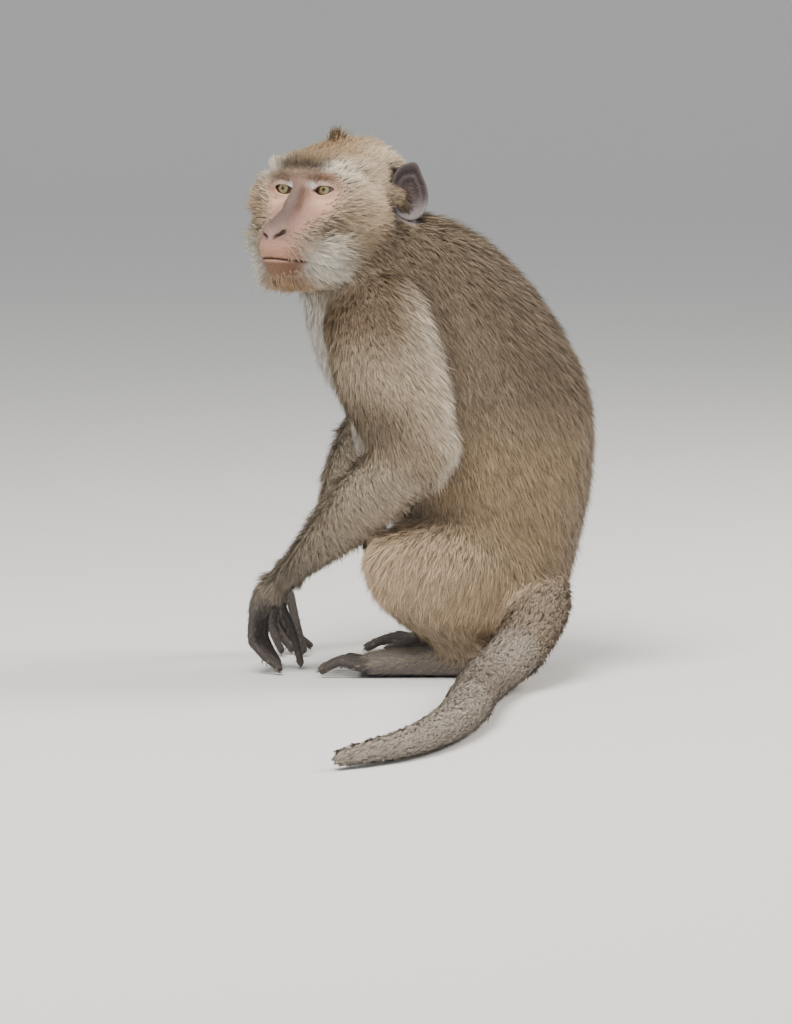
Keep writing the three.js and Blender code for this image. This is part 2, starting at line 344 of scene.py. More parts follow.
def from_field(name, field, low, step):
    """The closed surface where a field on a grid is zero."""
    grid = vdb.FloatGrid(background=float(field.max()))
    grid.copyFromArray(np.ascontiguousarray(field, np.float32))
    points, quads = grid.convertToQuads(isovalue=0)
    points = points * step + np.asarray(low, np.float32)
    a, b, c = (points[quads[:, i]] for i in range(3))
    if np.einsum("ij,ij->i", a, np.cross(b, c)).sum() < 0:
        quads = quads[:, ::-1]
    return mesh_piece(name, points, quads)


def distance_grid(nodes, low, shape, step, reach):
    """Distances to solids of the frame, on a grid, each from a merged copy of its mesh."""
    grids = []
    for node in nodes:
        copy = frame["nodes"][node].data.copy()
        copy.calc_loop_triangles()
        spots = np.empty(len(copy.vertices) * 3, np.float32)
        copy.vertices.foreach_get("co", spots)
        corners = np.empty(len(copy.loop_triangles) * 3, np.int32)
        copy.loop_triangles.foreach_get("vertices", corners)
        spots, shared = np.unique(np.round(spots.reshape(-1, 3) * MM, 3), axis=0, return_inverse=True)
        triangles = shared.ravel()[corners].reshape(-1, 3)
        bpy.data.meshes.remove(copy)
        level = vdb.FloatGrid.createLevelSetFromPolygons(
            (spots - low) / step, triangles=triangles.astype(np.uint32), halfWidth=reach / step)
        values = np.full(shape, reach / step, np.float32)
        level.copyToArray(values)
        grids.append(values * step)
    return np.stack(grids)

# %% [markdown]
# ## The face
#
# A macaque's face is a heavy bar of brow over deep-set eyes, a long nose that runs down into a
# broad muzzle, thin lips closed on a nearly straight line, and flat cheeks. It is bare, so it gets
# the finest grid. Both halves are alike: the field is worked out for one and read for both.

# %% The face as a field
LID_GAP = 0.25
LID_THICKNESS = 1.7
MOUTH_HEIGHT = -47.2


def bare_head(p):
    """The skin of the head without ears, lids, nostrils and mouth. p is in the head's frame, y >= 0."""
    skull = soft_min(egg(p, (-46, 0, 0), (42, 36, 31)), egg(p, (-62, 0, 2), (27, 37, 29)), 8)
    brow_middle = rod(p, (1.2, -10, 12.4), (1.2, 10, 12.4), 4.6, 4.6)
    brow = soft_min(brow_middle, rod(p, (1.2, 10, 12.4), (-2, 22, 11.4), 4.6, 4.6), 3)
    brow = soft_min(brow, rod(p, (-2, 22, 11.4), (-8, 31, 2.5), 4.6, 4), 5)
    rim = rod(p, (-8, 31, 2.5), (-10, 31.5, -8), 4, 5)
    rim = soft_min(rim, rod(p, (-2.5, 18, -15), (-10, 31, -9), 5.5, 5.5), 5)
    arch = rod(p, (-12, 31, -10), (-34, 35, -12), 6, 6)
    middle_face = soft_min(egg(p, (-12, 0, -12), (17, 29, 23)), egg(p, (-22, 0, 8), (23, 30, 16)), 8)
    bridge = rod(p, (1.2, 0, -4), (31.5, 0, -26), 4.8, 6.4)
    bridge = soft_min(bridge, rod(p, (2.0, 0, 6), (15, 0, -10), 3.8, 4.8), 4)
    beside = rod(p, (0, 12, -15), (20, 11, -33), 8, 8)
    beside = soft_min(beside, rod(p, (-7, 22, -18), (10, 17, -42), 9, 9), 8)
    muzzle = soft_min(egg(p, (13, 0, -36), (27, 18, 17)), egg(p, (23, 0, -40.5), (19.5, 17, 9.5)), 6)
    lips = egg(p, (19, 0, -48.5), (21.5, 17, 9))
    jaw = rod(p, (10, 11, -56), (-44, 29, -46), 9.5, 9)
    chin = soft_min(egg(p, (17, 0, -56.5), (18, 13.5, 11)), jaw, 8)
    throat = egg(p, (-22, 0, -50), (34, 25, 20))
    cheek = egg(p, (-16, 23, -28), (27, 14, 23))
    head = skull
    for form, reach in (
            (brow, 12), (middle_face, 9), (rim, 7), (soft_min(arch, cheek, 10), 10),
            (soft_min(bridge, beside, 7), 8), (soft_min(muzzle, lips, 6), 8),
            (soft_min(chin, throat, 10), 7)):
        head = soft_min(head, form, reach)
    return head

# %% [markdown]
# ## Lids, nostrils and lips
#
# The openings of the face are what the eye looks at first. Each lid is a thin shell round the
# eyeball, melted into the face and opened by an almond. Nostrils and the groove of the lip are
# rods taken away, and the mouth is a fine slit with a small fold under it.

# %% The open face
def face_field(p):
    """The whole skin of the head without its ears."""
    head = bare_head(p)
    eye = np.array([-EYE_SETBACK, HALF_EYES, 0], np.float32)
    head = soft_max(head, -egg(p, (6, HALF_EYES, 0.5), (8, 11, 7)), 6)
    # the lids: a shell round the eye, white above, that melts into the face
    ball = np.linalg.norm(p - eye, axis=-1)
    lids = ball - (EYE_RADIUS + LID_GAP + LID_THICKNESS)
    head = soft_min(head, lids, 3.5)
    # the corner of the eye towards the nose, where the lids reach past the ball
    head = soft_min(head, egg(p, (-3.5, HALF_EYES - 7.5, -1.2), (4, 3.2, 3.4)), 3)
    # a crease over the upper lid and a bag under the lower one
    crease = np.abs(np.linalg.norm((p - eye)[..., 1:] * (0.82, 1.0) + (0.6, 0.6), axis=-1) - 8.4)
    upper = 1 / (1 + np.exp(-(p[..., 2] - 1) / 1.5))
    head = head + 0.6 * np.exp(-(crease / 0.9) ** 2) * (0.35 + 0.65 * upper) * (p[..., 0] > -8)
    # nose: wings, nostrils that meet in a V, and the groove down to the lip
    wings = egg(p, (32.5, 5.8, -28), (6.2, 4.3, 4.5))
    head = soft_min(head, wings, 5)
    nostril = rod(p, (40, 3.4, -32.3), (36.2, 9, -28.4), 0.8, 1.5)
    head = soft_max(head, -nostril, 1.2)
    groove = rod(p, (41.2, 3.2, -33), (43.2, 0.6, -37), 0.4, 0.4)
    groove = soft_min(groove, rod(p, (43.2, 0, -37), (44.3, 0, -44), 0.4, 0.4), 1)
    head = soft_max(head, -groove, 1.8)
    # the mouth: the lips meet in a thin slit that thins out towards the cheek
    line = MOUTH_HEIGHT - 0.009 * p[..., 1] ** 2
    out = np.clip((p[..., 0] - 17) / 9, 0, 1)
    slit = np.exp(-((p[..., 2] - line) / 0.85) ** 2) * out
    under_lip = np.exp(-((p[..., 2] - line + 2.6) / 1.8) ** 2) * out
    head = head + 2.0 * slit - 0.25 * under_lip
    # the hollow for the eye and the almond that opens it
    head = soft_max(head, -(ball - EYE_RADIUS - LID_GAP), 0.4)
    across = (p[..., 1] - HALF_EYES + 0.9) / 9.0
    bow = np.clip(1 - across ** 2, 0, 1)
    height = p[..., 2] - 0.1 - 0.8 * across
    top, bottom = 2.8 * bow ** 0.75, -3.4 * bow ** 0.85
    almond = np.maximum(np.maximum(height - top, bottom - height), np.abs(across * 9.0) - 9.0)
    almond = np.maximum(almond, -EYE_SETBACK - p[..., 0])
    head = soft_max(head, -almond, 1.1)
    return head

# %% [markdown]
# ## The ear
#
# A macaque's ear is a thin cup with a rolled rim, an inner fold and a blunt corner at the top. It
# could be a bent sheet, but as a field its root melts into the head by itself.

# %% The ear and the finished face
EAR_ACROSS = unit([-0.57, 0.8, 0.1])
EAR_UP = unit(np.array([-0.24, 0.0, 0.97]) - np.dot([-0.24, 0.0, 0.97], EAR_ACROSS) * EAR_ACROSS)
EAR_OPEN = np.cross(EAR_ACROSS, EAR_UP)
EAR_MIDDLE = np.array([-70.0, 43.0, -4.0])


def ear_field(p):
    """A thin cup with a rolled rim, standing off the side of the head and opening forwards."""
    q = (p - EAR_MIDDLE.astype(np.float32)) @ np.stack([EAR_ACROSS, EAR_OPEN, EAR_UP]).T.astype(np.float32)
    across, depth, along = q[..., 0], q[..., 1], q[..., 2]
    high = np.clip(along / 20.5, -1, 1)
    edge = np.sqrt((across / (13.0 - 1.5 * high)) ** 2 + (along / 20.0) ** 2)
    corner = np.arctan2(along / 20, across / 13)
    edge = edge / (1 + 0.17 * np.exp(-((corner - 1.05) / 0.3) ** 2))
    bend = 6 * edge ** 2 - 3.5
    plate = np.abs(depth - bend) - 1.3
    ear = soft_max(plate, (edge - 1) * 12, 2)
    rolled = np.sqrt(((edge - 0.9) * 12) ** 2 + (depth - bend - 1.4) ** 2) - 1.6
    inner = np.sqrt(((edge - 0.55) * 12) ** 2 + (depth - bend - 1.0) ** 2) - 1.3
    inner = np.maximum(inner, np.abs(along - 1) - 11)
    ear = soft_min(soft_min(ear, rolled, 1.5), inner, 1.5)
    tragus = egg(p, (-59, 38, -9), (3.5, 3.5, 5))
    root = rod(p, (-56, 29, -6), (-66, 38, -7), 9, 5)
    return soft_min(soft_min(ear, root, 6), tragus, 3)


FACE_STEP = 0.75
face_low = np.array([-98.0, 0.0, -80.0])
face_points = grid_points(face_low, (52, 66, 50), FACE_STEP)
half = face_field(face_points)
# the head sinks in behind the cheeks, because the body's own skin takes over there
half = half + np.maximum(-22 - face_points[..., 0], 0) * 0.22
half = half + np.maximum(-52 - face_points[..., 0], 0) * 0.8
half = soft_min(half, ear_field(face_points), 3)
face_grid = np.concatenate([half[:, :0:-1], half], axis=1)
face_low[1] = -FACE_STEP * (half.shape[1] - 1)
face = from_field("face", face_grid, face_low, FACE_STEP)
place_points(face.data, from_head(points_of(face)))
face.data.update()
print("face:", len(face.data.polygons), "faces")

# %% [markdown]
# ## The body under its coat
#
# The solids reach out to the tips of the hair, so the skin lies inside them by the depth of the
# coat: most on the trunk and the haunches, little on the hands and feet. Each solid gives a field.
# They melt together where a limb joins the trunk, so that one skin runs over all of them.

# %% The parts of the body and the depth of their coat
COAT_DEPTH = {
    "trunk": 8.0, "neck": 8.0, "head": 7.0, "tail_root": 3.0, "tail_middle": 1.4, "tail_tip": 1.3,
    "upper_arm": 6.0, "forearm": 4.5, "hand": 0.9, "thigh": 7.0, "shank": 4.5, "foot": 0.9,
}
PARTS = ["trunk", "neck", "head", "tail_root", "tail_middle", "tail_tip"]
for side in ("left", "right"):
    PARTS += [part + "_" + side for part in ("upper_arm", "forearm", "hand", "thigh", "shank", "foot")]
DIGITS = {"hand": "finger", "foot": "toe"}
REACH = 20.0
BODY_STEP = 2.5
BODY_MARGIN = 12
MELT = 7
BLEND = 4


def plain_name(part):
    """A part's name without its side."""
    return part.replace("_left", "").replace("_right", "")


print(len(PARTS), "parts; the coat is", min(COAT_DEPTH.values()), "to", max(COAT_DEPTH.values()), "mm deep")

# %% [markdown]
# ## Measuring the solids
#
# A melted field is a true distance only near its surface. The coat's depth is taken off inside, so
# the surface is meshed once and measured again before anything is taken off.

# %% Helpers for the body
def digit_nodes(end, side):
    """The names of the five fingers or toes of one side."""
    return [DIGITS[end] + "_" + side + "_" + str(i) for i in range(1, 6)]


def measured_again(field, low, step):
    """The same surface as a true distance, also deep inside, where melted fields are too shallow."""
    grid = vdb.FloatGrid(background=float(field.max()))
    grid.copyFromArray(np.ascontiguousarray(field, np.float32))
    points, quads = grid.convertToQuads(isovalue=0)
    level = vdb.FloatGrid.createLevelSetFromPolygons(
        points, quads=quads.astype(np.uint32), halfWidth=REACH / step)
    values = np.full(field.shape, REACH / step, np.float32)
    level.copyToArray(values)
    return values * step

# %% [markdown]
# ## Melting the solids
#
# Every part adds its own field and its own depth of coat, blended where parts meet. The broad
# parts are smoothed more than the limbs, so that no edge of a solid shows through the skin.

# %% The body's skin
body_low = LOW * MM - BODY_MARGIN
body_points = grid_points(body_low, HIGH * MM + BODY_MARGIN, BODY_STEP)
shape = body_points.shape[:3]
body_field = np.full(shape, 40, np.float32)
inset_sum = np.zeros(shape, np.float32)
weight_sum = np.zeros(shape, np.float32)
broad = np.zeros(shape, np.float32)
near_part = {}
near_digit = np.full(shape, REACH, np.float32)
for part in PARTS:
    distance = distance_grid([part], body_low, shape, BODY_STEP, REACH)[0]
    near = distance
    if part[:4] in ("hand", "foot"):
        end, side = part.split("_")
        digits = distance_grid(digit_nodes(end, side), body_low, shape, BODY_STEP, REACH).min(0)
        near = np.minimum(distance, digits)
        near_digit = np.minimum(near_digit, digits)
    if part == "head":
        ears = distance_grid(["ear_left", "ear_right"], body_low, shape, BODY_STEP, REACH).min(0)
        near = np.minimum(distance, ears)
    near_part[part] = near[::2, ::2, ::2].copy()
    own_inset = COAT_DEPTH[plain_name(part)] + (1.6 if part[:4] in ("hand", "foot") else 0)
    if part == "head":
        spot = to_head(body_points)
        ruff = np.clip((np.abs(spot[..., 1]) - 14) / 14, 0, 1) * np.clip((38 - spot[..., 2]) / 14, 0, 1)
        own_inset = own_inset + 5.5 * ruff * np.clip((spot[..., 0] + 78) / 20, 0, 1)
        own_inset = own_inset + np.clip(0.5 * (spot[..., 0] + 26), 0, 14)
    weight = np.exp(-distance / BLEND)
    inset_sum += weight * own_inset
    weight_sum += weight
    if part in ("trunk", "neck") or part[:5] == "thigh":
        broad += weight
    body_field = soft_min(body_field, distance, MELT)
broad = blurred(broad / weight_sum, 2)
body_field = measured_again(body_field, body_low, BODY_STEP) + blurred(inset_sum / weight_sum, 2)
body_field = blurred(body_field, 1.0) * (1 - broad) + blurred(body_field, 3.0) * broad
body = from_field("body", body_field, body_low, BODY_STEP)
print("body:", len(body.data.polygons), "faces")

# %% [markdown]
# ## Hands and feet
#
# Fingers and toes are thinner than the coarse grid can draw, so each hand and foot gets its own
# fine grid. Its field starts inside the forearm or the shank and comes out at the wrist or ankle.

# %% Hands and feet from fine grids
DIGIT_STEP = 1.1
HAND_MARGIN = 22
extremities = []
for side in ("left", "right"):
    for end, limb in (("hand", "forearm"), ("foot", "shank")):
        palm = end + "_" + side
        digits = digit_nodes(end, side)
        boxes = np.array([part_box(n) for n in [palm] + digits]) * MM
        low, high = boxes[:, 0].min(0) - HAND_MARGIN, boxes[:, 1].max(0) + HAND_MARGIN
        low[2], high[2] = low[2] + 19, high[2] + 4
        ends = high + DIGIT_STEP
        shape = tuple(len(np.arange(low[i], ends[i], DIGIT_STEP, dtype=np.float32)) for i in range(3))
        grids = distance_grid([palm, limb + "_" + side] + digits, low, shape, DIGIT_STEP, REACH)
        bare = grids[2]
        for digit in grids[3:]:
            bare = soft_min(bare, digit, 0.8)
        bare = soft_min(grids[0], bare, 5)
        from_palm = np.minimum(grids[0], grids[2:].min(0))
        whole = measured_again(soft_min(bare, grids[1], 5), low, DIGIT_STEP)
        depth = 0.9 + (COAT_DEPTH[limb] - 0.9) * np.clip((from_palm - 1) / 9, 0, 1)
        depth = depth + 0.35 * np.maximum(from_palm - 8, 0) + 4 * np.maximum(from_palm - 16, 0)
        field = blurred(whole + blurred(depth, 1.5), 0.8)
        extremities.append(from_field(palm + "_skin", field, low, DIGIT_STEP))
        print(palm, len(extremities[-1].data.polygons), "faces")

# %% [markdown]
# ## One skin
#
# The faces are thinned first, where the surface is plain. Then the pieces are joined by a Boolean
# union, so that the result is a single closed skin with no seam and nothing hidden inside it.
# Light smoothing evens out the join behind the face and the edges of the lids.

# %% Join into one skin
def apply_modifier(piece, kind, **settings):
    """Add a modifier with these settings and apply it at once."""
    select_only(piece)
    modifier = piece.modifiers.new(kind.lower(), kind)
    for name, value in settings.items():
        setattr(modifier, name, value)
    bpy.ops.object.modifier_apply(modifier=modifier.name)


for piece, share in [(body, 0.35), (face, 0.5)] + [(extremity, 0.55) for extremity in extremities]:
    apply_modifier(piece, "DECIMATE", ratio=share)
skin = body
skin.name = "skin"
for other in [face] + extremities:
    apply_modifier(skin, "BOOLEAN", operation="UNION", solver="MANIFOLD", object=other)
    bpy.data.objects.remove(other)


def smooth_where(piece, weights, rounds):
    """Even out a mesh where the weights say so."""
    group = piece.vertex_groups.new(name="smooth")
    for level in range(1, 5):
        chosen = np.flatnonzero(np.round(weights * 4) == level)
        group.add(chosen.tolist(), level / 4, "REPLACE")
    apply_modifier(piece, "SMOOTH", factor=0.5, iterations=rounds, vertex_group=group.name)
    piece.vertex_groups.clear()


spots = to_head(points_of(skin))
join = np.exp(-((spots[:, 0] + 40) / 11) ** 2) * (np.abs(spots[:, 2]) < 75) * (np.abs(spots[:, 1]) < 70)
smooth_where(skin, join, 14)
from_eye = np.stack([spots[:, 0] + EYE_SETBACK, np.abs(spots[:, 1]) - HALF_EYES, spots[:, 2]], 1)
near_eye = np.linalg.norm(from_eye, axis=1)
smooth_where(skin, (near_eye < EYE_RADIUS + 3).astype(float), 2)
select_only(skin)
bpy.ops.object.mode_set(mode="EDIT")
bpy.ops.mesh.select_all(action="SELECT")
bpy.ops.mesh.normals_make_consistent(inside=False)
bpy.ops.object.mode_set(mode="OBJECT")
bpy.ops.object.shade_smooth()
print("skin:", len(skin.data.polygons), "faces,", len(skin.data.vertices), "points")

# %% [markdown]
# ## Nails
#
# A macaque has flat, dark nails. Each is a small squashed sphere, set where the skin of a finger
# or toe tip is furthest out and forward, and turned to lie along it.

# %% Nails
NAIL_SIZE = (2.3, 3.4, 0.9)


def make_nails(end, side):
    """Five nails of one hand or foot, joined into one piece."""
    back = np.array([0.1, -1, 0.5]) if end == "hand" else np.array([0, -0.2, 1])
    skin_spots = points_of(skin)
    nails = []
    palm = middle(end + "_" + side)
    for digit in digit_nodes(end, side):
        spots = points_of(frame["nodes"][digit])
        tip = spots[np.argmax(np.linalg.norm(spots - palm, axis=1))]
        along = unit(tip - middle(digit))
        up = unit(back - (back @ along) * along)
        close = skin_spots[np.linalg.norm(skin_spots - tip, axis=1) < 8]
        if not len(close):
            continue
        seat = close[np.argmax(close @ (0.75 * along + up))]
        out = unit(0.35 * along + up)
        forward = unit(along - (along @ out) * out)
        bpy.ops.object.select_all(action="DESELECT")
        bpy.ops.mesh.primitive_uv_sphere_add(segments=18, ring_count=10, radius=0.001)
        nail = bpy.context.object
        shape_of_nail = points_of(nail) * NAIL_SIZE
        shape_of_nail[:, 2] -= 0.09 * shape_of_nail[:, 0] ** 2
        turned = shape_of_nail @ np.stack([np.cross(forward, out), forward, out])
        turned = turned + seat - 0.3 * out - 0.6 * forward
        place_points(nail.data, turned)
        bpy.ops.object.shade_smooth()
        nails.append(nail)
    select_only(*nails)
    bpy.ops.object.join()
    joined = bpy.context.object
    joined.name = "nails_" + end + "_" + side
    print(joined.name, len(nails), "nails")
    return joined


nails = [make_nails(end, side) for end in ("hand", "foot") for side in ("left", "right")]

# %% [markdown]
# ## Which part of the body a place belongs to
#
# The lie, length and colour of the coat change from part to part, and softly where parts meet. Each
# place is given a share of every part, from its distances to the solids.

# %% Shares of the parts
PART_NAMES = list(near_part)


def shares(points):
    """How much of each part a place belongs to, left and right limbs under one name."""
    distances = np.stack([sample(near_part[n], body_low, 2 * BODY_STEP, points) for n in PART_NAMES], 1)
    weights = np.exp((distances.min(1, keepdims=True) - distances) / BLEND)
    weights /= weights.sum(1, keepdims=True)
    found = {}
    for i, name in enumerate(PART_NAMES):
        plain = plain_name(name)
        found[plain] = found.get(plain, 0) + weights[:, i]
    return found


def on_digit(points):
    """One on fingers and toes, zero from the knuckles up."""
    return 1 - ramp(sample(near_digit, body_low, BODY_STEP, points), 1.5, 7.0)


def bump(points, centre, size):
    """One at a place, fading to nothing around it. Size is one number or one for each direction."""
    return np.exp(-(((points - np.array(centre)) / np.array(size)) ** 2).sum(1))


def ramp(values, start, end):
    """Zero before start, one after end, smooth between."""
    share = np.clip((values - start) / (end - start), 0, 1)
    return share * share * (3 - 2 * share)


def mirrored(head_spots):
    """Head places with y made positive, so that one rule serves both sides."""
    return np.stack([head_spots[:, 0], np.abs(head_spots[:, 1]), head_spots[:, 2]], 1)


def outside_face(h):
    """How far a place on the head lies outside the bare face, in millimetres."""
    width = np.interp(h[:, 2], [-62, -56, -50, -41, -34, -27, -21, -14, -7, 0, 6, 12],
                      [6, 11, 14, 14.5, 13.5, 14.5, 20, 25.5, 29, 30, 29, 26])
    top = 11.0 - 1.0 * ramp(h[:, 1], 8, 20)
    return np.maximum.reduce([h[:, 1] - width, h[:, 2] - top, -57 - h[:, 2], -16 - h[:, 0]])


def from_ear(h):
    """Distance from the ear's own surface, leaving out the root that joins it to the head."""
    q = h - EAR_MIDDLE
    around = np.sqrt((q @ EAR_ACROSS / 14.5) ** 2 + (q @ EAR_UP / 21.5) ** 2)
    depth = q @ EAR_OPEN - 6 * np.minimum(around, 1.1) ** 2 + 3.5
    return np.hypot(np.maximum(around - 1, 0) * 14, np.maximum(np.abs(depth) - 3.5, 0))


def on_ear(h):
    """One on the ears, zero elsewhere on the head."""
    return (1 - ramp(from_ear(h), 0.5, 2.5)) * ramp(h[:, 1], 31, 34)

# %% [markdown]
# ## Markings
#
# A long-tailed macaque is agouti: each hair is banded, so the coat reads as grey-brown flecked
# with ochre. It is darkest on the nape and rump, warm on the crown, pale on the haunch, the arms'
# rear edges, the chest and the whiskers, and grey on the shanks and the tail. Light and shade are
# painted in too: rim light on the arms' rear edges, shade on the haunch near the floor and in the
# parting on the cheek. The face is bare pink-brown skin with white upper lids and a mauve nose.
# Skin and hair read the same rules.

# %% Markings as rules
COAT_TINTS = {
    "trunk": "#8b7d6d", "neck": "#514436", "head": "#988875",
    "tail_root": "#96897c", "tail_middle": "#a79e97", "tail_tip": "#aea69f",
    "upper_arm": "#978874", "forearm": "#aea192", "hand": "#6d6863",
    "thigh": "#c6b097", "shank": "#9b8c79", "foot": "#7a746d",
}
# pale and dark spots on the head: middle, size, share and tint
HEAD_SPOTS = [
    ((-3, 29, 14), (14, 10, 6), 0.9, "#d6d0c8"),
    ((-14, 36, 8), (16, 12, 12), 0.8, "#c0b9ae"),
    ((-22, 40, -14), (22, 16, 16), 0.7, "#d0bda9"),
    ((-52, 32, 28), (15, 16, 14), 0.8, "#c6c0b2"),
    ((12, 24, -46), (16, 13, 14), 0.95, "#efebe5"),
    ((-12, 34, -42), (22, 14, 18), 0.8, "#726452"),
    # painted shadow in the parting on the cheek, together with its dark hair roots
    ((8, 27, -27.5), (8, 8, 4), 0.95, "#2b231a"),
    ((6, 24, -56), (16, 9, 10), 0.85, "#ebe6df"),
]


def mixed(colours, share, tint):
    """Colours moved towards a tint by a share from 0 to 1."""
    return colours + share[:, None] * (linear(tint) - colours)


def coat_colour(points, normals, part):
    """The coat's colour where a hair grows, in linear light."""
    colours = sum(part[name][:, None] * linear(tint) for name, tint in COAT_TINTS.items())
    body = points - np.array([TRUNK_MIDDLE * MM, 0, 0])
    trunk = part["trunk"] + part["neck"]
    height = points[:, 2]
    # the chest, the shoulder, the flank and the back
    front = ramp(-normals[:, 1], 0.1, 0.8) * ramp(height, 40, 120)
    colours = mixed(colours, trunk * front, "#e2ded9")
    shoulder = bump(body, (60, -50, 275), (60, 70, 50))
    colours = mixed(colours, 0.9 * shoulder * (1 - part["head"]) * (1 - front), "#43372b")
    rump = trunk * ramp(height, 110, 40) * ramp(normals[:, 1], 0, 0.7)
    colours = mixed(colours, 0.8 * rump, "#6b5644")
    flank = part["trunk"] * ramp(normals[:, 0], 0.2, 0.7) * ramp(-height, -220, -150)
    colours = mixed(colours, 0.7 * flank, "#a8937a")
    back = part["trunk"] * ramp(height, 170, 230) * ramp(normals[:, 1], 0.2, 0.6)
    colours = mixed(colours, 0.6 * back, "#64584c")
    # the limbs
    inner = ramp(-np.sign(body[:, 0]) * normals[:, 0], 0.2, 0.8)
    colours = mixed(colours, 0.8 * (part["upper_arm"] + part["forearm"] + part["thigh"]) * inner, "#b8ad9d")
    rear = ramp(normals[:, 1], 0.2, 0.9)
    upper_arm = part["upper_arm"]
    arm = upper_arm + 0.6 * part["forearm"]
    outer = upper_arm * ramp(normals[:, 0], 0.3, 0.9) * ramp(height, 150, 190)
    colours = mixed(colours, 0.6 * outer, "#c0b1a0")
    colours = mixed(colours, 0.8 * upper_arm * ramp(height, 225, 262) * (1 - rear), "#6a5947")
    colours = mixed(colours, 0.9 * upper_arm * ramp(-height, -165, -130) * (1 - rear), "#5b4f42")
    fold = upper_arm * np.exp(-((height - 192) / 20) ** 2) * ramp(-normals[:, 1], -0.4, 0.3)
    colours = mixed(colours, 0.7 * fold, "#5d5143")
    # the arms' rear edges: pale hair, painted paler still as rim light from behind
    colours = mixed(colours, 0.85 * arm * rear, "#d6cabd")
    colours = mixed(colours, 0.8 * part["forearm"] * ramp(height, 125, 75), "#625d57")
    # painted shade on the haunch, darker towards the floor
    colours = mixed(colours, 0.6 * part["thigh"] * ramp(height, 60, 20), "#7c6a57")
    top = ramp(normals[:, 2], 0.3, 0.9)
    colours = mixed(colours, 0.3 * (part["tail_middle"] + part["tail_tip"]) * top, "#8e8883")
    # the head
    h_true = to_head(points)
    h = mirrored(h_true)
    head = part["head"]
    out = outside_face(h)
    front_of_crest = ramp(0.574 * (h_true[:, 0] + 38.5) - 0.819 * h_true[:, 1], -3, 2)
    colours = mixed(colours, head * bump(h, (-30, 0, 34), (34, 26, 18)), "#836e55")
    colours = mixed(colours, 0.85 * head * bump(h, (-33, 0, 28), (11, 11, 16)) * front_of_crest, "#362e24")
    edge = head * (1 - ramp(out, 0, 11)) * ramp(-h[:, 2], -12, 0)
    colours = mixed(colours, 0.8 * edge, "#c6a995")
    colours = mixed(colours, 0.8 * head * bump(h, (0, 0, 11), (12, 24, 3)), "#a59686")
    band = np.exp(-((h[:, 2] - 16.5 + 0.0035 * h[:, 1] ** 2) / 5.0) ** 2)
    band = band * ramp(-h[:, 1], -28, -19) * ramp(h[:, 0], -20, -8)
    colours = mixed(colours, 0.9 * head * band, "#1d1815")
    for spot, size, share, tint in HEAD_SPOTS:
        colours = mixed(colours, share * head * bump(h, spot, size), tint)
    far_ruff = bump(h, (0, 26, -66), (20, 12, 12)) * (h_true[:, 1] < 0)
    colours = mixed(colours, 0.8 * head * far_ruff, "#ddd6cb")
    colours = mixed(colours, 0.8 * head * bump(h, (24, 4, -62), (16, 13, 9)), "#8f7357")
    colours = mixed(colours, 0.8 * head * ramp(-h[:, 2], 30, 60) * ramp(-h[:, 0], 14, 40), "#64543f")
    colours = mixed(colours, 0.5 * head * bump(h, (8, 10, -74), (24, 18, 8)), "#b7aa98")
    colours = mixed(colours, 0.8 * head * ramp(-h[:, 0], 62, 84), "#6b5b48")
    return np.clip(colours, 0, 1)
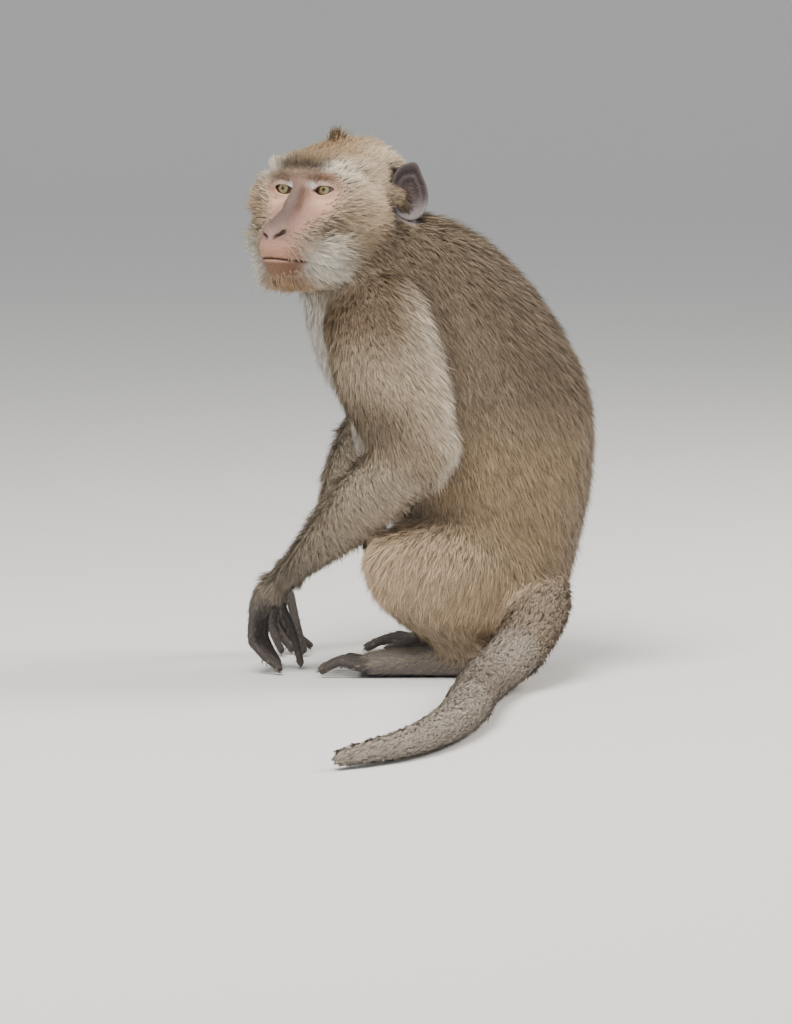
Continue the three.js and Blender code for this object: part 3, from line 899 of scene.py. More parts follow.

# %% [markdown]
# ## The skin's own colours
#
# Bare skin shows on the face, the ears, the palms, the fingers and the toes. Under the coat the
# skin takes the coat's colour, darkened as painted shade under the hair, so that a parting in the
# hair isn't a pale line. Shade is also painted under the brow, into the nostrils, the slit of the
# mouth and the hollow of the ear.

# %% Skin colours
def skin_colour(points, normals, part):
    """The skin's colour: the coat's own, darkened as painted shade, where hair covers it, bare skin
    elsewhere.
    """
    h = mirrored(to_head(points))
    out = outside_face(h)
    tail = part["tail_middle"] + part["tail_tip"] + 0.6 * part["tail_root"]
    # under the coat, the coat's colour darkened as painted shade under the hair
    colours = coat_colour(points, normals, part) * (0.7 + 0.25 * tail)[:, None]
    bare = np.broadcast_to(linear("#a37c67"), colours.shape)
    bare = mixed(bare, bump(h, (-4, 20, -10), (15, 11, 7)), "#e4b7a0")
    bare = mixed(bare, 0.8 * bump(h, (6, 17, -22), (14, 6, 8)), "#957766")
    # the brow ridge's brown skin, darkened further as painted shade cast by the brow over the eyes
    bare = mixed(bare, 0.9 * bump(h, (3, 0, 11), (14, 27, 4.2)), "#6c584c")
    bare = mixed(bare, 0.85 * bump(h, (26, 9, -24), (13, 7, 9)), "#9b7b73")
    mauve = np.exp(-(rod(h, (14, 0, -3), (38, 0, -25), 0, 0) / 12.0) ** 2)
    bare = mixed(bare, 0.95 * mauve, "#3f3138")
    bare = mixed(bare, 0.6 * np.exp(-(h[:, 1] / 1.6) ** 2) * bump(h, (8, 0, 1), (8, 9, 6)), "#5d463b")
    bare = mixed(bare, 0.8 * bump(h, (40, 0, -30), (6, 7, 5)), "#a98881")
    bare = mixed(bare, 0.8 * bump(h, (38, 0, -41), (12, 15, 5)), "#a67c67")
    bare = mixed(bare, 0.8 * ramp(-h[:, 2], 48.5, 51) * ramp(h[:, 0], 8, 20), "#61432f")
    eye = h - np.array([-EYE_SETBACK, HALF_EYES, 0])
    lid = np.exp(-((np.linalg.norm(eye, axis=1) - EYE_RADIUS - 2) / 2.6) ** 2)
    white = 0.22 * lid * ramp(h[:, 2], 0.5, 2.5) * (1 - ramp(h[:, 2], 6, 8))
    inner_lid = np.exp(-((h[:, 1] - 9) / 3.6) ** 2 - ((h[:, 2] - 3.6) / 3.0) ** 2)
    white = white + 0.95 * inner_lid * ramp(h[:, 1], 3.5, 6)
    bare = mixed(bare, np.clip(white, 0, 1), "#efe9e2")
    bare = mixed(bare, 0.8 * lid * ramp(-h[:, 2], 0, 2), "#c99f8a")
    rim = np.exp(-((np.linalg.norm(eye, axis=1) - EYE_RADIUS - 0.3) / 0.5) ** 2)
    bare = mixed(bare, 0.9 * rim, "#4a332a")
    # painted shade in the slit where the lips meet
    slit = np.exp(-((h[:, 2] - MOUTH_HEIGHT + 0.009 * h[:, 1] ** 2) / 0.8) ** 2) * ramp(h[:, 0], 17, 22)
    bare = mixed(bare, 0.92 * slit, "#2f1f1c")
    # painted shade inside the nostrils
    holes = np.exp(-(rod(h, (40, 3.4, -32.3), (36.2, 9, -28.4), 0.3, 0.8) / 1.3) ** 2)
    bare = mixed(bare, 0.95 * holes, "#241613")
    face = part["head"] * ramp(-out, -7, -1)
    colours = colours + face[:, None] * (bare - colours)
    ear = on_ear(h)
    q = h - EAR_MIDDLE
    # painted shade in the hollow of the ear's cup, on the side that opens forwards
    hollow = np.exp(-((q @ EAR_ACROSS / 9) ** 2 + (q @ EAR_UP / 13) ** 2))
    hollow = hollow * ramp(normals @ (EAR_OPEN @ HEAD_AXES), -0.4, 0.4)
    colours = mixed(colours, ear, "#4f4749")
    colours = mixed(colours, ear * ramp(-(q @ EAR_UP), 2, 14), "#7a7375")
    colours = mixed(colours, 0.85 * ear * hollow, "#3a2d29")
    fingers = part["hand"] + part["foot"]
    colours = mixed(colours, fingers, "#645d5a")
    colours = mixed(colours, fingers * on_digit(points), "#3f3937")
    return np.clip(colours, 0, 1)

# %% [markdown]
# ## Marking the skin
#
# The colours could be an image wrapped round the skin, but the rules give a colour for any place,
# so each point of the mesh simply carries its own.

# %% Mark the skin
skin_points, skin_normals = points_of(skin), normals_of(skin)
tints = np.ones((len(skin_points), 4), np.float32)
tints[:, :3] = skin_colour(skin_points, skin_normals, shares(skin_points))
store(skin, "marks", "FLOAT_COLOR", tints)
print("skin marked at", len(tints), "points")

# %% [markdown]
# ## The coat
#
# Hair that is drawn at render time is lost when a model is handed on, so each hair here is a thin
# ribbon of a few triangles, in locks of a few that share a direction and draw together at the tips.
# A lock needs four things from the place where it grows: how dense, how long, how far it stands
# off the skin, and which way it lies. Those come from rules for each part, as a groomer would
# comb a real coat.

# %% How the coat lies
COMB = {
    "trunk": (0, 0.37, -0.93), "neck": (0, 0.5, -0.86), "head": (0, 0, -1),
    "upper_arm": (0.1, 0.5, -0.85), "forearm": (0.1, 0.62, -0.78), "hand": (0, -0.35, -0.93),
    "thigh": (0, -0.3, -0.95), "shank": (0, 0.6, -0.8), "foot": (0.1, -0.95, -0.3),
    "tail_root": tuple(unit(middle("tail_middle") - middle("tail_root")) * (0.6, 1, 1)),
    "tail_middle": tuple(unit(middle("tail_tip") - middle("tail_middle"))),
    "tail_tip": tuple(unit(middle("tail_tip") - middle("tail_middle")) + (0, -0.15, 0)),
}
HAIR_LENGTH = {
    "trunk": 18, "neck": 17, "head": 13, "upper_arm": 15, "forearm": 11, "hand": 4.2,
    "thigh": 17, "shank": 11, "foot": 4.6, "tail_root": 11, "tail_middle": 7.5, "tail_tip": 7.5,
}
HAIRS_PER_AREA = {
    "trunk": 1.3, "neck": 1.6, "head": 2.5, "upper_arm": 1.75, "forearm": 2.0, "hand": 1.8, "thigh": 1.6,
    "shank": 1.6, "foot": 1.3, "tail_root": 1.4, "tail_middle": 1.6, "tail_tip": 1.6,
}
LOCK = 6

# %% [markdown]
# ## The coat at one place
#
# The tables give one value for each part. At a real place they are blended, and the special spots
# of the head are added: the crest, the whiskers, the parting on the cheek, the pale hair over the
# ears. Hair on the far side of the face stands out more, as if brushed up by the wind.

# %% Density, length, lift and lie
def blend_of(table, part):
    """A table's values mixed by the shares of the parts."""
    return sum(np.outer(part[name], np.atleast_1d(value)) for name, value in table.items())


def growth(points, normals):
    """Density, length, lift and direction of the coat at each place."""
    part = shares(points)
    h_true = to_head(points)
    h = mirrored(h_true)
    head = part["head"]
    density = blend_of(HAIRS_PER_AREA, part)[:, 0]
    length = blend_of(HAIR_LENGTH, part)[:, 0]
    depth = sum(part[n] * COAT_DEPTH[n] for n in COMB)
    lie = blend_of(COMB, part)
    wrist = part["forearm"] * ramp(-points[:, 2], -110, -70)
    lie = lie + wrist[:, None] * np.array([-0.1, -0.9, -0.4])
    # the head: away from the nose over the face and crown, then down the nape
    out = outside_face(h)
    away = h_true - np.array([44, 0, -20])
    nape = ramp(-h[:, 0], 42, 70)[:, None]
    comb = unit(away) * (1 - nape) + nape * np.array([-0.55, 0, -0.85])
    line = (h[:, 2] + 28.5 - 0.35 * (9 - h[:, 0]))
    part_line = np.exp(-(line / 7) ** 2) * ramp(h[:, 0], -20, -2) * ramp(h[:, 1], 19, 25)
    comb[:, 2] -= 0.9 * part_line * np.sign(line) * ramp(np.abs(line), 0, 3)
    crest = head * bump(h, (-33, 0, 32), (10, 11, 16))
    to_peak = unit(np.stack([-37 - h[:, 0], -h_true[:, 1] * 1.2, np.full(len(h), 14.0)], 1))
    comb = comb * (1 - crest[:, None]) + crest[:, None] * to_peak
    cheek = ramp(out, 0, 16) * (1 - ramp(h[:, 2], 14, 24))
    whisker = np.clip(bump(h, (2, 30, -44), (22, 14, 18)) + 0.8 * bump(h, (-14, 38, 0), (20, 12, 22)), 0, 1)
    halo = np.clip(bump(h, (-52, 32, 26), (14, 16, 14)) + 0.8 * bump(h, (-8, 30, 30), (12, 10, 10)), 0, 1)
    flare = bump(h, (-6, 34, -8), (16, 12, 28)) + bump(h, (4, 28, -42), (18, 12, 14))
    flare = flare + bump(h, (8, 22, -56), (16, 12, 10))
    flare = np.clip(flare, 0, 1) * ramp(out, 1, 7) * np.where(h_true[:, 1] < 0, 1.0, 0.3)
    comb = unit(comb)
    side_of_head = np.where(h_true[:, 1] < 0, -1.0, 1.0)
    jowl = bump(h, (2, 26, -62), (22, 16, 19)) * ramp(out, 1, 7) * (h_true[:, 1] < 0)
    temple = bump(h, (-6, 28, 27), (14, 13, 12)) * (h_true[:, 1] < 0)
    comb[:, 1] += (1.1 * flare + 0.9 * jowl + 0.5 * temple + 0.4 * halo) * side_of_head
    comb[:, 2] += 1.1 * temple + 1.1 * halo
    comb[:, 0] += 0.3 * jowl
    lie = lie * (1 - head[:, None]) + head[:, None] * (unit(comb) @ HEAD_AXES)
    head_length = 3.2 + 10 * flare + 9.5 * cheek + 6 * whisker
    head_length = head_length + 6 * ramp(h[:, 2], 18, 30) + 5 * ramp(-h[:, 0], 30, 60)
    head_length = head_length - 2.2 * bump(h, (2, 0, 12), (12, 24, 4))
    head_length = np.where(h[:, 2] < -60, np.maximum(head_length, 8), head_length) + 9 * crest + 7 * halo
    head_length = head_length + 9 * jowl + 9 * temple
    notch = 1 - 0.5 * bump(h, (8, 27, -27.5), (8, 8, 5))
    length = length * (1 - head) + head * np.clip(head_length * notch, 2.5, 26)
    head_depth = np.minimum(0.42 * head_length, 7) + 4 * whisker * ramp(out, 2, 10)
    head_depth = head_depth + 13 * crest + 9 * halo + 10 * flare + 8 * jowl + 11 * temple
    depth = depth * (1 - head) + head * head_depth
    near_head = ramp(-np.linalg.norm(h, axis=1), -110, -95)
    down = 0.3 * ramp(out, -9, -2) * ramp(h[:, 1], 8, 14) + 0.6 * bump(h, (3, 0, 12), (14, 30, 3.5))
    density = density * (1 - near_head * (1 - np.maximum(ramp(out, -1.5, 2.5), down)))
    mouth_corner = bump(h, (19, 15.5, -49), (9, 7, 6)) + bump(h, (27, 12, -51), (9, 7, 6))
    density = density * (1 + 1.6 * crest) * (1 - near_head * np.minimum(mouth_corner, 1))
    fringe = part["upper_arm"] * ramp(normals[:, 1], 0.2, 0.8) * ramp(points[:, 2], 130, 170)
    length = length + 6 * fringe
    depth = depth + 3.5 * fringe
    # the ear is nearly bare, and hair in front of it stops short of it
    density = density * (1 - near_head * on_ear(h))
    gap = from_ear(h)
    to_ear = EAR_MIDDLE * np.where(h_true[:, 1:2] < 0, (1, -1, 1), (1, 1, 1)) - h_true
    towards = ramp(np.einsum("ij,ij->i", unit(to_ear), unit(comb)), -0.2, 0.3) * near_head
    limit = np.where((h[:, 1] > 24) & (h[:, 2] < 14), 2.2 + 0.7 * gap, 99)
    length = length * (1 - towards) + towards * np.minimum(length, limit)
    depth = np.minimum(depth, 0.6 * length + 2 * (1 - head))
    ends = part["hand"] + part["foot"]
    palm = part["hand"] * ramp(normals[:, 1], -0.2, 0.4) + part["foot"] * ramp(-normals[:, 2], -0.1, 0.3)
    density = density * (1 - ends * np.maximum(on_digit(points), 0.9 * palm))
    return density, length, depth, lie, part

# %% [markdown]
# ## Sowing the locks
#
# Locks are sown over the skin, as many to an area as the rules ask: each falls at random within its
# own small share of the skin, so that there are no bald spots. The random numbers have a fixed
# seed, so the coat is the same each time.

# %% Sow
random = np.random.default_rng(7)
SOWN_SHARE = 1.0
LEAST_HEIGHT = 1.2
LEAST_LENGTH = 2.2
skin.data.calc_loop_triangles()
corner = np.empty(len(skin.data.loop_triangles) * 3, np.int32)
skin.data.loop_triangles.foreach_get("vertices", corner)
corner = corner.reshape(-1, 3)
a, b, c = (skin_points[corner[:, i]] for i in range(3))
area = np.linalg.norm(np.cross(b - a, c - a), axis=1) / 2
thickly = growth((a + b + c) / 3, unit(skin_normals[corner].sum(1)))[0]
expected = np.cumsum(area * thickly) / LOCK * SOWN_SHARE
total = int(expected[-1])
sown = np.searchsorted(expected, (np.arange(total) + random.random(total)) * expected[-1] / total)
sown = np.minimum(sown, len(corner) - 1)
mix = random.dirichlet((1, 1, 1), len(sown))
roots = np.einsum("ni,nij->nj", mix, skin_points[corner[sown]])
facing = unit(np.einsum("ni,nij->nj", mix, skin_normals[corner[sown]]))
density, length, depth, lie, part = growth(roots, facing)
keep = (roots[:, 2] > LEAST_HEIGHT) & (length > LEAST_LENGTH)
roots, facing, length, depth, lie = (v[keep] for v in (roots, facing, length, depth, lie))
part = {name: share[keep] for name, share in part.items()}
tint = coat_colour(roots, facing, part)
print("locks:", len(roots), "hairs:", len(roots) * LOCK, "skin area in square cm:", round(area.sum() / 100))

# %% [markdown]
# ## A map for the hairs
#
# A hair is far too thin to own a part of a texture. So every hair of a lock uses the same small
# patch, placed where its root sits on an unwrap of the skin's shape: round the part and along it.

# %% Unwrap
def unwrapped(points, name):
    """A place on an unwrap of the skin's own shape: round the part, and along it, from 0 to 1."""
    if name.startswith("head"):
        h = to_head(points) + (38, 0, 12)
        turn = np.arctan2(h[:, 1], -h[:, 0]) / (2 * math.pi) + 0.5
        rise = np.arctan2(h[:, 2], np.hypot(h[:, 0], h[:, 1])) / math.pi + 0.5
        return np.stack([turn, rise], 1)
    low, high = points.min(0), points.max(0)
    axis = 0 if name == "tail" else 2
    across = [i for i in range(3) if i != axis]
    along = (points[:, axis] - low[axis]) / (high - low)[axis]
    order = np.digitize(along, np.linspace(0, 1, 13)) - 1
    centre = np.array([
        points[order == i].mean(0) if (order == i).any() else (low + high) / 2 for i in range(13)])
    offset = points - centre[np.clip(order, 0, 12)]
    turn = np.arctan2(offset[:, across[1]], offset[:, across[0]]) / (2 * math.pi) + 0.5
    return np.stack([turn, along], 1)

# %% [markdown]
# ## Hairs as ribbons
#
# Each hair rises from under the skin, leans over and lies along the body. Its colour runs from a
# dark root, partly banding and partly painted shade from the hairs over it, through an ochre band
# to a tip that is dark in some hairs and pale in others, which is what makes the agouti fleck. A
# hair that would pass through the floor lies on it instead.

# %% Build the coat, one mesh for each region
LONG_STAGES, LONG_FULLNESS = np.array([0.0, 0.36, 0.72, 1.0]), np.array([0.8, 1.0, 0.72])
SHORT_STAGES, SHORT_FULLNESS = np.array([0.0, 0.5, 1.0]), np.array([0.85, 1.0])


def coat_piece(name, locks):
    """One mesh of hair ribbons from these locks."""
    count = len(locks)
    hairs = np.repeat(locks, LOCK)
    n = len(hairs)
    normal, root = facing[hairs], roots[hairs]
    own_lie = lie[hairs] - np.einsum("ij,ij->i", lie[hairs], normal)[:, None] * normal
    sway = random.normal(0, 0.09, (count, 3)).repeat(LOCK, 0) + random.normal(0, 0.06, (n, 3))
    along = unit(own_lie + sway)
    side = np.cross(along, normal)
    size = length[hairs] * random.uniform(0.72, 1.12, n) * np.repeat(random.uniform(0.9, 1.08, count), LOCK)
    rise = depth[hairs] * random.uniform(0.55, 0.97, n)
    rise = np.minimum(rise, 0.9 * size)
    reach = np.sqrt(size ** 2 - rise ** 2)
    spread = np.clip(0.13 * length[hairs], 0.8, 2.6)
    angle, radius = random.uniform(0, 2 * math.pi, n), np.sqrt(random.random(n)) * spread
    offset = along * (np.cos(angle) * radius)[:, None] + side * (np.sin(angle) * radius)[:, None]
    bow = random.normal(0, 0.05, n) * size
    stages, fullness = SHORT_STAGES, SHORT_FULLNESS
    if name.startswith("head"):
        stages, fullness = LONG_STAGES, LONG_FULLNESS
    rows = []
    for t in stages:
        point = root + offset * (1 - 0.4 * t) + along * (reach * t)[:, None]
        if name == "tail":
            # lifted by the middle and settling again, or its undersides show as dark specks end-on
            lift = rise * (min(2 * t, 1) - 0.2 * max(2 * t - 1, 0)) - 0.3 * (1 - min(2 * t, 1))
        else:
            lift = rise * (1 - (1 - t) ** 1.7) - 1.0 * (1 - t)
        point = point + normal * lift[:, None]
        point = point + side * (bow * math.sin(math.pi * t))[:, None]
        point[:, 2] = np.maximum(point[:, 2], 0.35 + 0.5 * t)
        rows.append(point)
    roll = random.normal(0, 0.2 if name == "tail" else 0.3, n)
    flat = side * np.cos(roll)[:, None] + normal * np.sin(roll)[:, None]
    thick = np.clip(0.22 + 0.022 * length[hairs], 0.28, 0.54) * random.uniform(0.75, 1.2, n) / 2
    thick = thick * 1.0
    last = len(fullness)
    size_of = 2 * last + 1
    points = np.empty((n, size_of, 3), np.float32)
    for i, full in enumerate(fullness):
        points[:, 2 * i] = rows[i] - flat * (thick * full)[:, None]
        points[:, 2 * i + 1] = rows[i] + flat * (thick * full)[:, None]
    points[:, 2 * last] = rows[last]
    ribbon = []
    for i in range(0, 2 * last - 2, 2):
        ribbon += [[i, i + 1, i + 3], [i, i + 3, i + 2]]
    ribbon = np.array(ribbon + [[2 * last - 2, 2 * last - 1, 2 * last]])
    faces = (np.arange(n)[:, None, None] * size_of + ribbon).reshape(-1, 3)
    piece = mesh_piece("coat_" + name, points.reshape(-1, 3), faces)
    # light the hairs as the body they lie on, or each turned ribbon shows as a dark dash
    outward = unit(normal + 0.25 * along + random.normal(0, 0.12, (n, 3)))
    outward = np.repeat(outward, size_of, axis=0).astype(np.float32)
    piece.data.normals_split_custom_set_from_vertices(outward)
    store(piece, "outward", "FLOAT_VECTOR", outward)
    # colour along each hair
    fleck = 0.35 + 0.65 * ramp(length[hairs], 4, 8) * (name != "tail")
    lock_light = np.repeat(random.normal(1, 0.04, count), LOCK)
    hair_light = random.normal(1, 0.19 * fleck, n) * lock_light
    dark_tip = random.random(n) < 0.33
    # dark roots: partly the hair's own band, partly painted shade from the hairs lying over them
    root_shade = np.interp(length[hairs], [6, 15], [0.93, 0.6])
    shade = np.repeat(hair_light[:, None], len(stages), axis=1)
    shade[:, 0] *= root_shade
    shade[:, 1] *= 0.92
    shade[:, -2] *= 1.06
    shade[:, -1] *= np.where(dark_tip, 1 - 0.5 * fleck, 1 + 0.3 * fleck)
    shade = np.repeat(shade, (2,) * last + (1,), axis=1)
    colours = np.ones((n, size_of, 4), np.float32)
    colours[..., :3] = tint[hairs][:, None] * shade[..., None]
    colours[:, 2 * last - 2:2 * last, :3] *= np.array([1.06, 1.0, 0.88])
    store(piece, "tint", "FLOAT_COLOR", np.clip(colours, 0, 1))
    # the map: every hair of a lock on the lock's own small patch
    place = unwrapped(roots[locks], name) * 0.99 + 0.005
    patch = [[x, t] for t in stages[:-1] for x in (0, 1)] + [[0.5, 1]]
    uv = np.repeat(place, LOCK, 0)[:, None] + (np.array(patch) - 0.5) * 0.003
    uv = np.clip(uv, 0, 1).reshape(-1, 2)[faces.ravel()].astype(np.float32)
    bake = piece.data.uv_layers.new(name="OFBake")
    bake.data.foreach_set("uv", uv.ravel())
    print(piece.name, n, "hairs,", len(faces), "triangles")
    return piece

# %% [markdown]
# ## The coat in pieces
#
# One mesh for the whole coat would be too heavy to handle, so it is cut by region: the trunk, the
# neck, the head, the arms, the legs and the tail, most of them in a left and a right half.

# %% The regions of the coat
on_left = roots[:, 0] > TRUNK_MIDDLE * MM
head_left = to_head(roots)[:, 1] > 0
main = np.array(list(part))[np.argmax(np.stack(list(part.values())), axis=0)]
REGIONS = {
    "trunk": ("trunk",), "neck": ("neck",), "head": ("head",), "arm": ("upper_arm", "forearm", "hand"),
    "leg": ("thigh", "shank", "foot"), "tail": ("tail_root", "tail_middle", "tail_tip"),
}
MID_HEIGHT = 165
coat = []
for region, names in REGIONS.items():
    chosen = np.isin(main, names)
    halves = {"_left": on_left, "_right": ~on_left}
    if region == "head":
        halves = {"_left": head_left, "_right": ~head_left}
    if region == "trunk":
        high = roots[:, 2] > MID_HEIGHT
        halves = {"_upper_left": on_left & high, "_upper_right": ~on_left & high,
                  "_lower_left": on_left & ~high, "_lower_right": ~on_left & ~high}
    if region in ("neck", "tail"):
        halves = {"": chosen}
    for ending, half in halves.items():
        coat.append(coat_piece(region + ending, np.flatnonzero(chosen & half)))
print("coat:", sum(len(piece.data.polygons) for piece in coat), "triangles")

# %% [markdown]
# ## Eyes
#
# A macaque's eye is dark brown around an olive iris with a small round pupil, under a clear bulge.
# A sphere is turned so that its pole looks where the eye looks, its front is pulled out a little
# for the cornea, and the colours follow the angle from the pole.

# %% Make the eyes
GAZE = unit([1.0, 0.07, 0.06]) @ HEAD_AXES
IRIS_ANGLE = math.radians(25)


def make_eye(name, centre):
    """An eyeball with its cornea towards the gaze, and the angle from the gaze at each point."""
    bpy.ops.object.select_all(action="DESELECT")
    bpy.ops.mesh.primitive_uv_sphere_add(segments=48, ring_count=48, radius=EYE_RADIUS / MM)
    eye = bpy.context.object
    eye.name = name
    bpy.ops.object.shade_smooth()
    points = points_of(eye)
    tilt = np.arccos(np.clip(points[:, 2] / EYE_RADIUS, -1, 1))
    bulge = 0.9 * np.clip(1 - (tilt / (IRIS_ANGLE * 1.25)) ** 2, 0, 1)
    points = points * (1 + bulge / EYE_RADIUS)[:, None]
    across = unit(np.cross(UP, GAZE))
    frame_of_eye = np.stack([across, np.cross(GAZE, across), GAZE])
    place_points(eye.data, points @ frame_of_eye + centre)
    store(eye, "from_pupil", "FLOAT", tilt / IRIS_ANGLE)
    store(eye, "spoke", "FLOAT_VECTOR", unit(points * (1, 1, 0)))
    eye.data.update()
    return eye


eyes = {"left": make_eye("eyeball_left", eye_left), "right": make_eye("eyeball_right", eye_right)}

# %% [markdown]
# ## Finishes
#
# Bare skin is soft and faintly oily, with fine wrinkles and pores. It lets a little light in under
# its surface, which softens the shadows on the face.

# %% The skin's finish
def skin_material():
    """Living skin: colour from its marks, mottled, with pores and fine wrinkles as bump."""
    material, tree = new_material("living_skin")
    place = add_node(tree, "ShaderNodeTexCoord").outputs["Object"]
    # mottling in spots about 9 mm across
    mottle = add_node(tree, "ShaderNodeTexNoise", Vector=place, Scale=1 / 0.009, Detail=3.0)
    tinted = varied(tree, attribute(tree, "marks").outputs["Color"], mottle, 0.84, 1.16)
    # pores are about 0.5 mm apart, drawn at 1.1 mm so that they show
    pores = add_node(tree, "ShaderNodeTexVoronoi", Vector=place, Scale=1 / 0.0011)
    # wrinkles run across the face every 2 to 3 mm
    wrinkles = add_node(
        tree, "ShaderNodeTexNoise", Vector=place, Scale=1 / 0.0026, Detail=4.0, Distortion=1.2)
    height = add_node(tree, "ShaderNodeMath", {"operation": "ADD"},
                      _0=pores.outputs["Distance"], _1=wrinkles.outputs["Fac"])
    relief = add_node(tree, "ShaderNodeBump", Strength=0.65, Distance=0.0008, Height=height.outputs[0])
    give_surface(tree, Base_Color=tinted, Roughness=0.6, Normal=relief.outputs[0],
                 Subsurface_Weight=0.12, Subsurface_Radius=(1.0, 0.35, 0.2), Subsurface_Scale=0.002,
                 Specular_IOR_Level=0.3)
    return material

# %% [markdown]
# ## Hair
#
# Hair is a clear-walled fibre with colour inside, so it has a weak, broad shine. A flat ribbon
# would flash light or dark as it turns, so the shader takes the direction of the body below.

# %% The coat's finish
def hair_material():
    """Agouti hair: the colour each ribbon carries, lit as the body it lies on, with a weak shine."""
    material, tree = new_material("agouti_hair")
    place = add_node(tree, "ShaderNodeTexCoord").outputs["Object"]
    # patches of slightly warmer and cooler hair, about 12 mm across
    patch = add_node(tree, "ShaderNodeTexNoise", Vector=place, Scale=1 / 0.012, Detail=2.0)
    tinted = varied(tree, attribute(tree, "tint").outputs["Color"], patch, 0.84, 1.16)
    give_surface(tree, Base_Color=tinted, Roughness=0.58, Specular_IOR_Level=0.14,
                 Normal=attribute(tree, "outward").outputs["Vector"])
    return material

# %% [markdown]
# ## Eyes and nails
#
# The eye is wet, so it has a sharp highlight over a matt iris. Its rings follow the angle from the
# pupil, and streaks run outwards from it. Nails are dark horn with faint streaks.

# %% Finishes of the eyes and nails
EYE_RINGS = 1.3


def eye_material():
    """A wet eye: pupil, streaked olive iris, dark ring and dark brown white of the eye."""
    material, tree = new_material("wet_eye")
    ring, spoke = attribute(tree, "from_pupil"), attribute(tree, "spoke")
    streaks = add_node(tree, "ShaderNodeTexNoise", Vector=spoke.outputs["Vector"], Scale=9.0, Detail=3.0)
    scaled = add_node(tree, "ShaderNodeMath", {"operation": "DIVIDE"},
                      _0=ring.outputs["Fac"], _1=EYE_RINGS)
    bands = add_node(tree, "ShaderNodeValToRGB", Fac=scaled.outputs[0])
    stops = [(0.0, "#060504"), (0.2, "#0a0806"), (0.26, "#4c4326"), (0.5, "#80764d"), (0.8, "#736a44"),
             (0.93, "#3b331f"), (1.0, "#241a12"), (1.25, "#54382a")]
    ramp_of = bands.color_ramp
    while len(ramp_of.elements) < len(stops):
        ramp_of.elements.new(1.0)
    for element, (place, colour) in zip(ramp_of.elements, stops):
        element.position = place / EYE_RINGS
        element.color = (*linear(colour), 1)
    tinted = varied(tree, bands.outputs["Color"], streaks, 0.72, 1.28)
    give_surface(tree, Base_Color=tinted, Roughness=0.35, Coat_Weight=1.0, Coat_Roughness=0.03,
                 Coat_IOR=1.38)
    return material


def nail_material():
    """Dark horn with faint streaks."""
    material, tree = new_material("dark_horn")
    place = add_node(tree, "ShaderNodeTexCoord").outputs["Object"]
    streak = add_node(tree, "ShaderNodeTexNoise", Vector=place, Scale=1 / 0.0012, Detail=2.0)
    blend = add_node(tree, "ShaderNodeValToRGB", Fac=streak.outputs["Fac"])
    blend.color_ramp.elements[0].color = (*linear("#2b2521"), 1)
    blend.color_ramp.elements[1].color = (*linear("#5a5048"), 1)
    give_surface(tree, Base_Color=blend.outputs["Color"], Roughness=0.35)
    return material

# %% [markdown]
# ## Each piece gets its finish
#
# One material serves the whole coat, so that its pieces can't differ where they meet.

# %% Give out the finishes
skin.data.materials.clear()
skin.data.materials.append(skin_material())
agouti = hair_material()
for piece in coat:
    piece.data.materials.append(agouti)
horn = nail_material()
for piece in nails:
    piece.data.materials.append(horn)
wet = eye_material()
for eye in eyes.values():
    eye.data.materials.append(wet)
print("finishes:", *[piece.data.materials[0].name for piece in (skin, coat[0], nails[0], eyes["left"])])

# %% [markdown]
# ## Floor and backdrop
#
# The model stands on a plain pale floor, flat for metres around it. Far away it rises gently all
# round, so that the floor is also the backdrop and its own rim stays out of the picture.

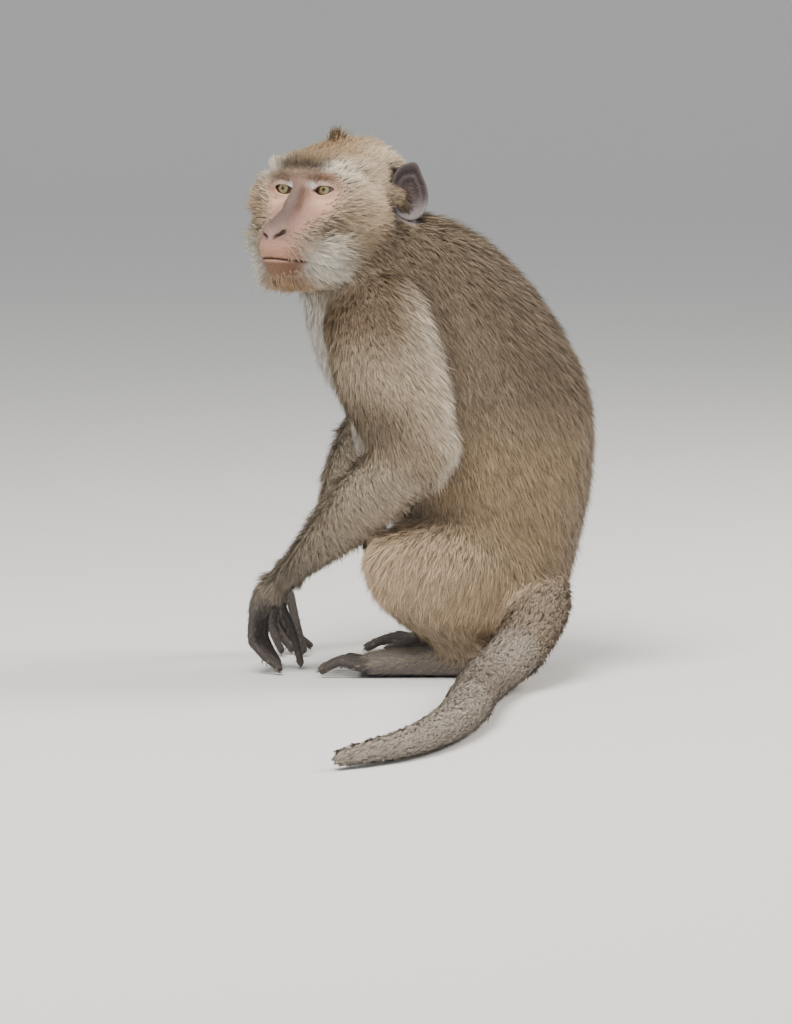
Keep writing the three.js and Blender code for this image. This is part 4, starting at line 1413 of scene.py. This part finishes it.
# %% Floor
bpy.ops.object.select_all(action="DESELECT")
FLOOR_SIZE = 24
FLAT_RADIUS = 7
FLOOR_DROP = 0.0005
bpy.ops.mesh.primitive_grid_add(
    x_subdivisions=120, y_subdivisions=120, size=FLOOR_SIZE, location=(0, 0, -FLOOR_DROP))
floor = bpy.context.object
floor.name = "floor"
bpy.ops.object.transform_apply(location=True)
sheet = points_of(floor)
far = np.clip(np.linalg.norm(sheet[:, :2], axis=1) / MM - FLAT_RADIUS, 0, None)
sheet[:, 2] += 0.16 * far ** 2 * MM
place_points(floor.data, sheet)
bpy.ops.object.shade_smooth()
material, tree = new_material("pale_floor")
place = add_node(tree, "ShaderNodeTexCoord").outputs["Object"]
grain = add_node(tree, "ShaderNodeTexNoise", Vector=place, Scale=60.0, Detail=3.0)
shade = add_node(tree, "ShaderNodeMapRange", Value=grain.outputs["Fac"], _3=0.70, _4=0.73)
give_surface(tree, Base_Color=shade.outputs["Result"], Roughness=0.8)
floor.data.materials.append(material)

# %% [markdown]
# ## Light
#
# Museums light a mount softly, so that no hair is burnt out and the form still reads. The key
# comes from high on the near side, the fill is weak and low, and the rim light comes from behind.
# The fill reaches down into the floor, so from the far side a line shows on the floor behind.

# %% Lights
def soft_light(name, azimuth, height, distance, size, power, colour):
    """A square softbox aimed at the animal's middle."""
    turn, tilt = math.radians(azimuth), math.radians(height)
    away = np.array([math.sin(turn) * math.cos(tilt), -math.cos(turn) * math.cos(tilt), math.sin(tilt)])
    bpy.ops.object.light_add(type="AREA", location=tuple(AIM + distance * away + (0, 0, 0.1)))
    lamp = bpy.context.object
    lamp.name = name
    lamp.data.size, lamp.data.energy = size, power
    lamp.data.color = tuple(linear(colour))
    lamp.rotation_euler = (math.pi / 2 - tilt, 0, turn)
    return lamp


soft_light("key", 80, 58, 2.3, 1.2, 92, "#fff8ee")
soft_light("fill", 110, 8, 2.8, 2.0, 16, "#f3f5ff")
soft_light("rim", 215, 35, 2.2, 1.0, 52, "#fff6ea")
world = bpy.data.worlds.new("studio")
bpy.context.scene.world = world
world.use_nodes = True
world.node_tree.nodes["Background"].inputs["Color"].default_value = (*linear("#e9eceb"), 1)
world.node_tree.nodes["Background"].inputs["Strength"].default_value = 0.7

# %% [markdown]
# ## Riding on the body
#
# Every piece rides on the body, and the solids that the skin, coat, nails and eyes take the place of are
# hidden.

# %% Ride and replace
for piece in [skin] + coat:
    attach(piece, "root")
for piece in nails:
    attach(piece, "root")
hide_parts(*[node for node in frame["nodes"] if not node.startswith("eye_")])
for side, eye in eyes.items():
    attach(eye, "root")
    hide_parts("eye_" + side)
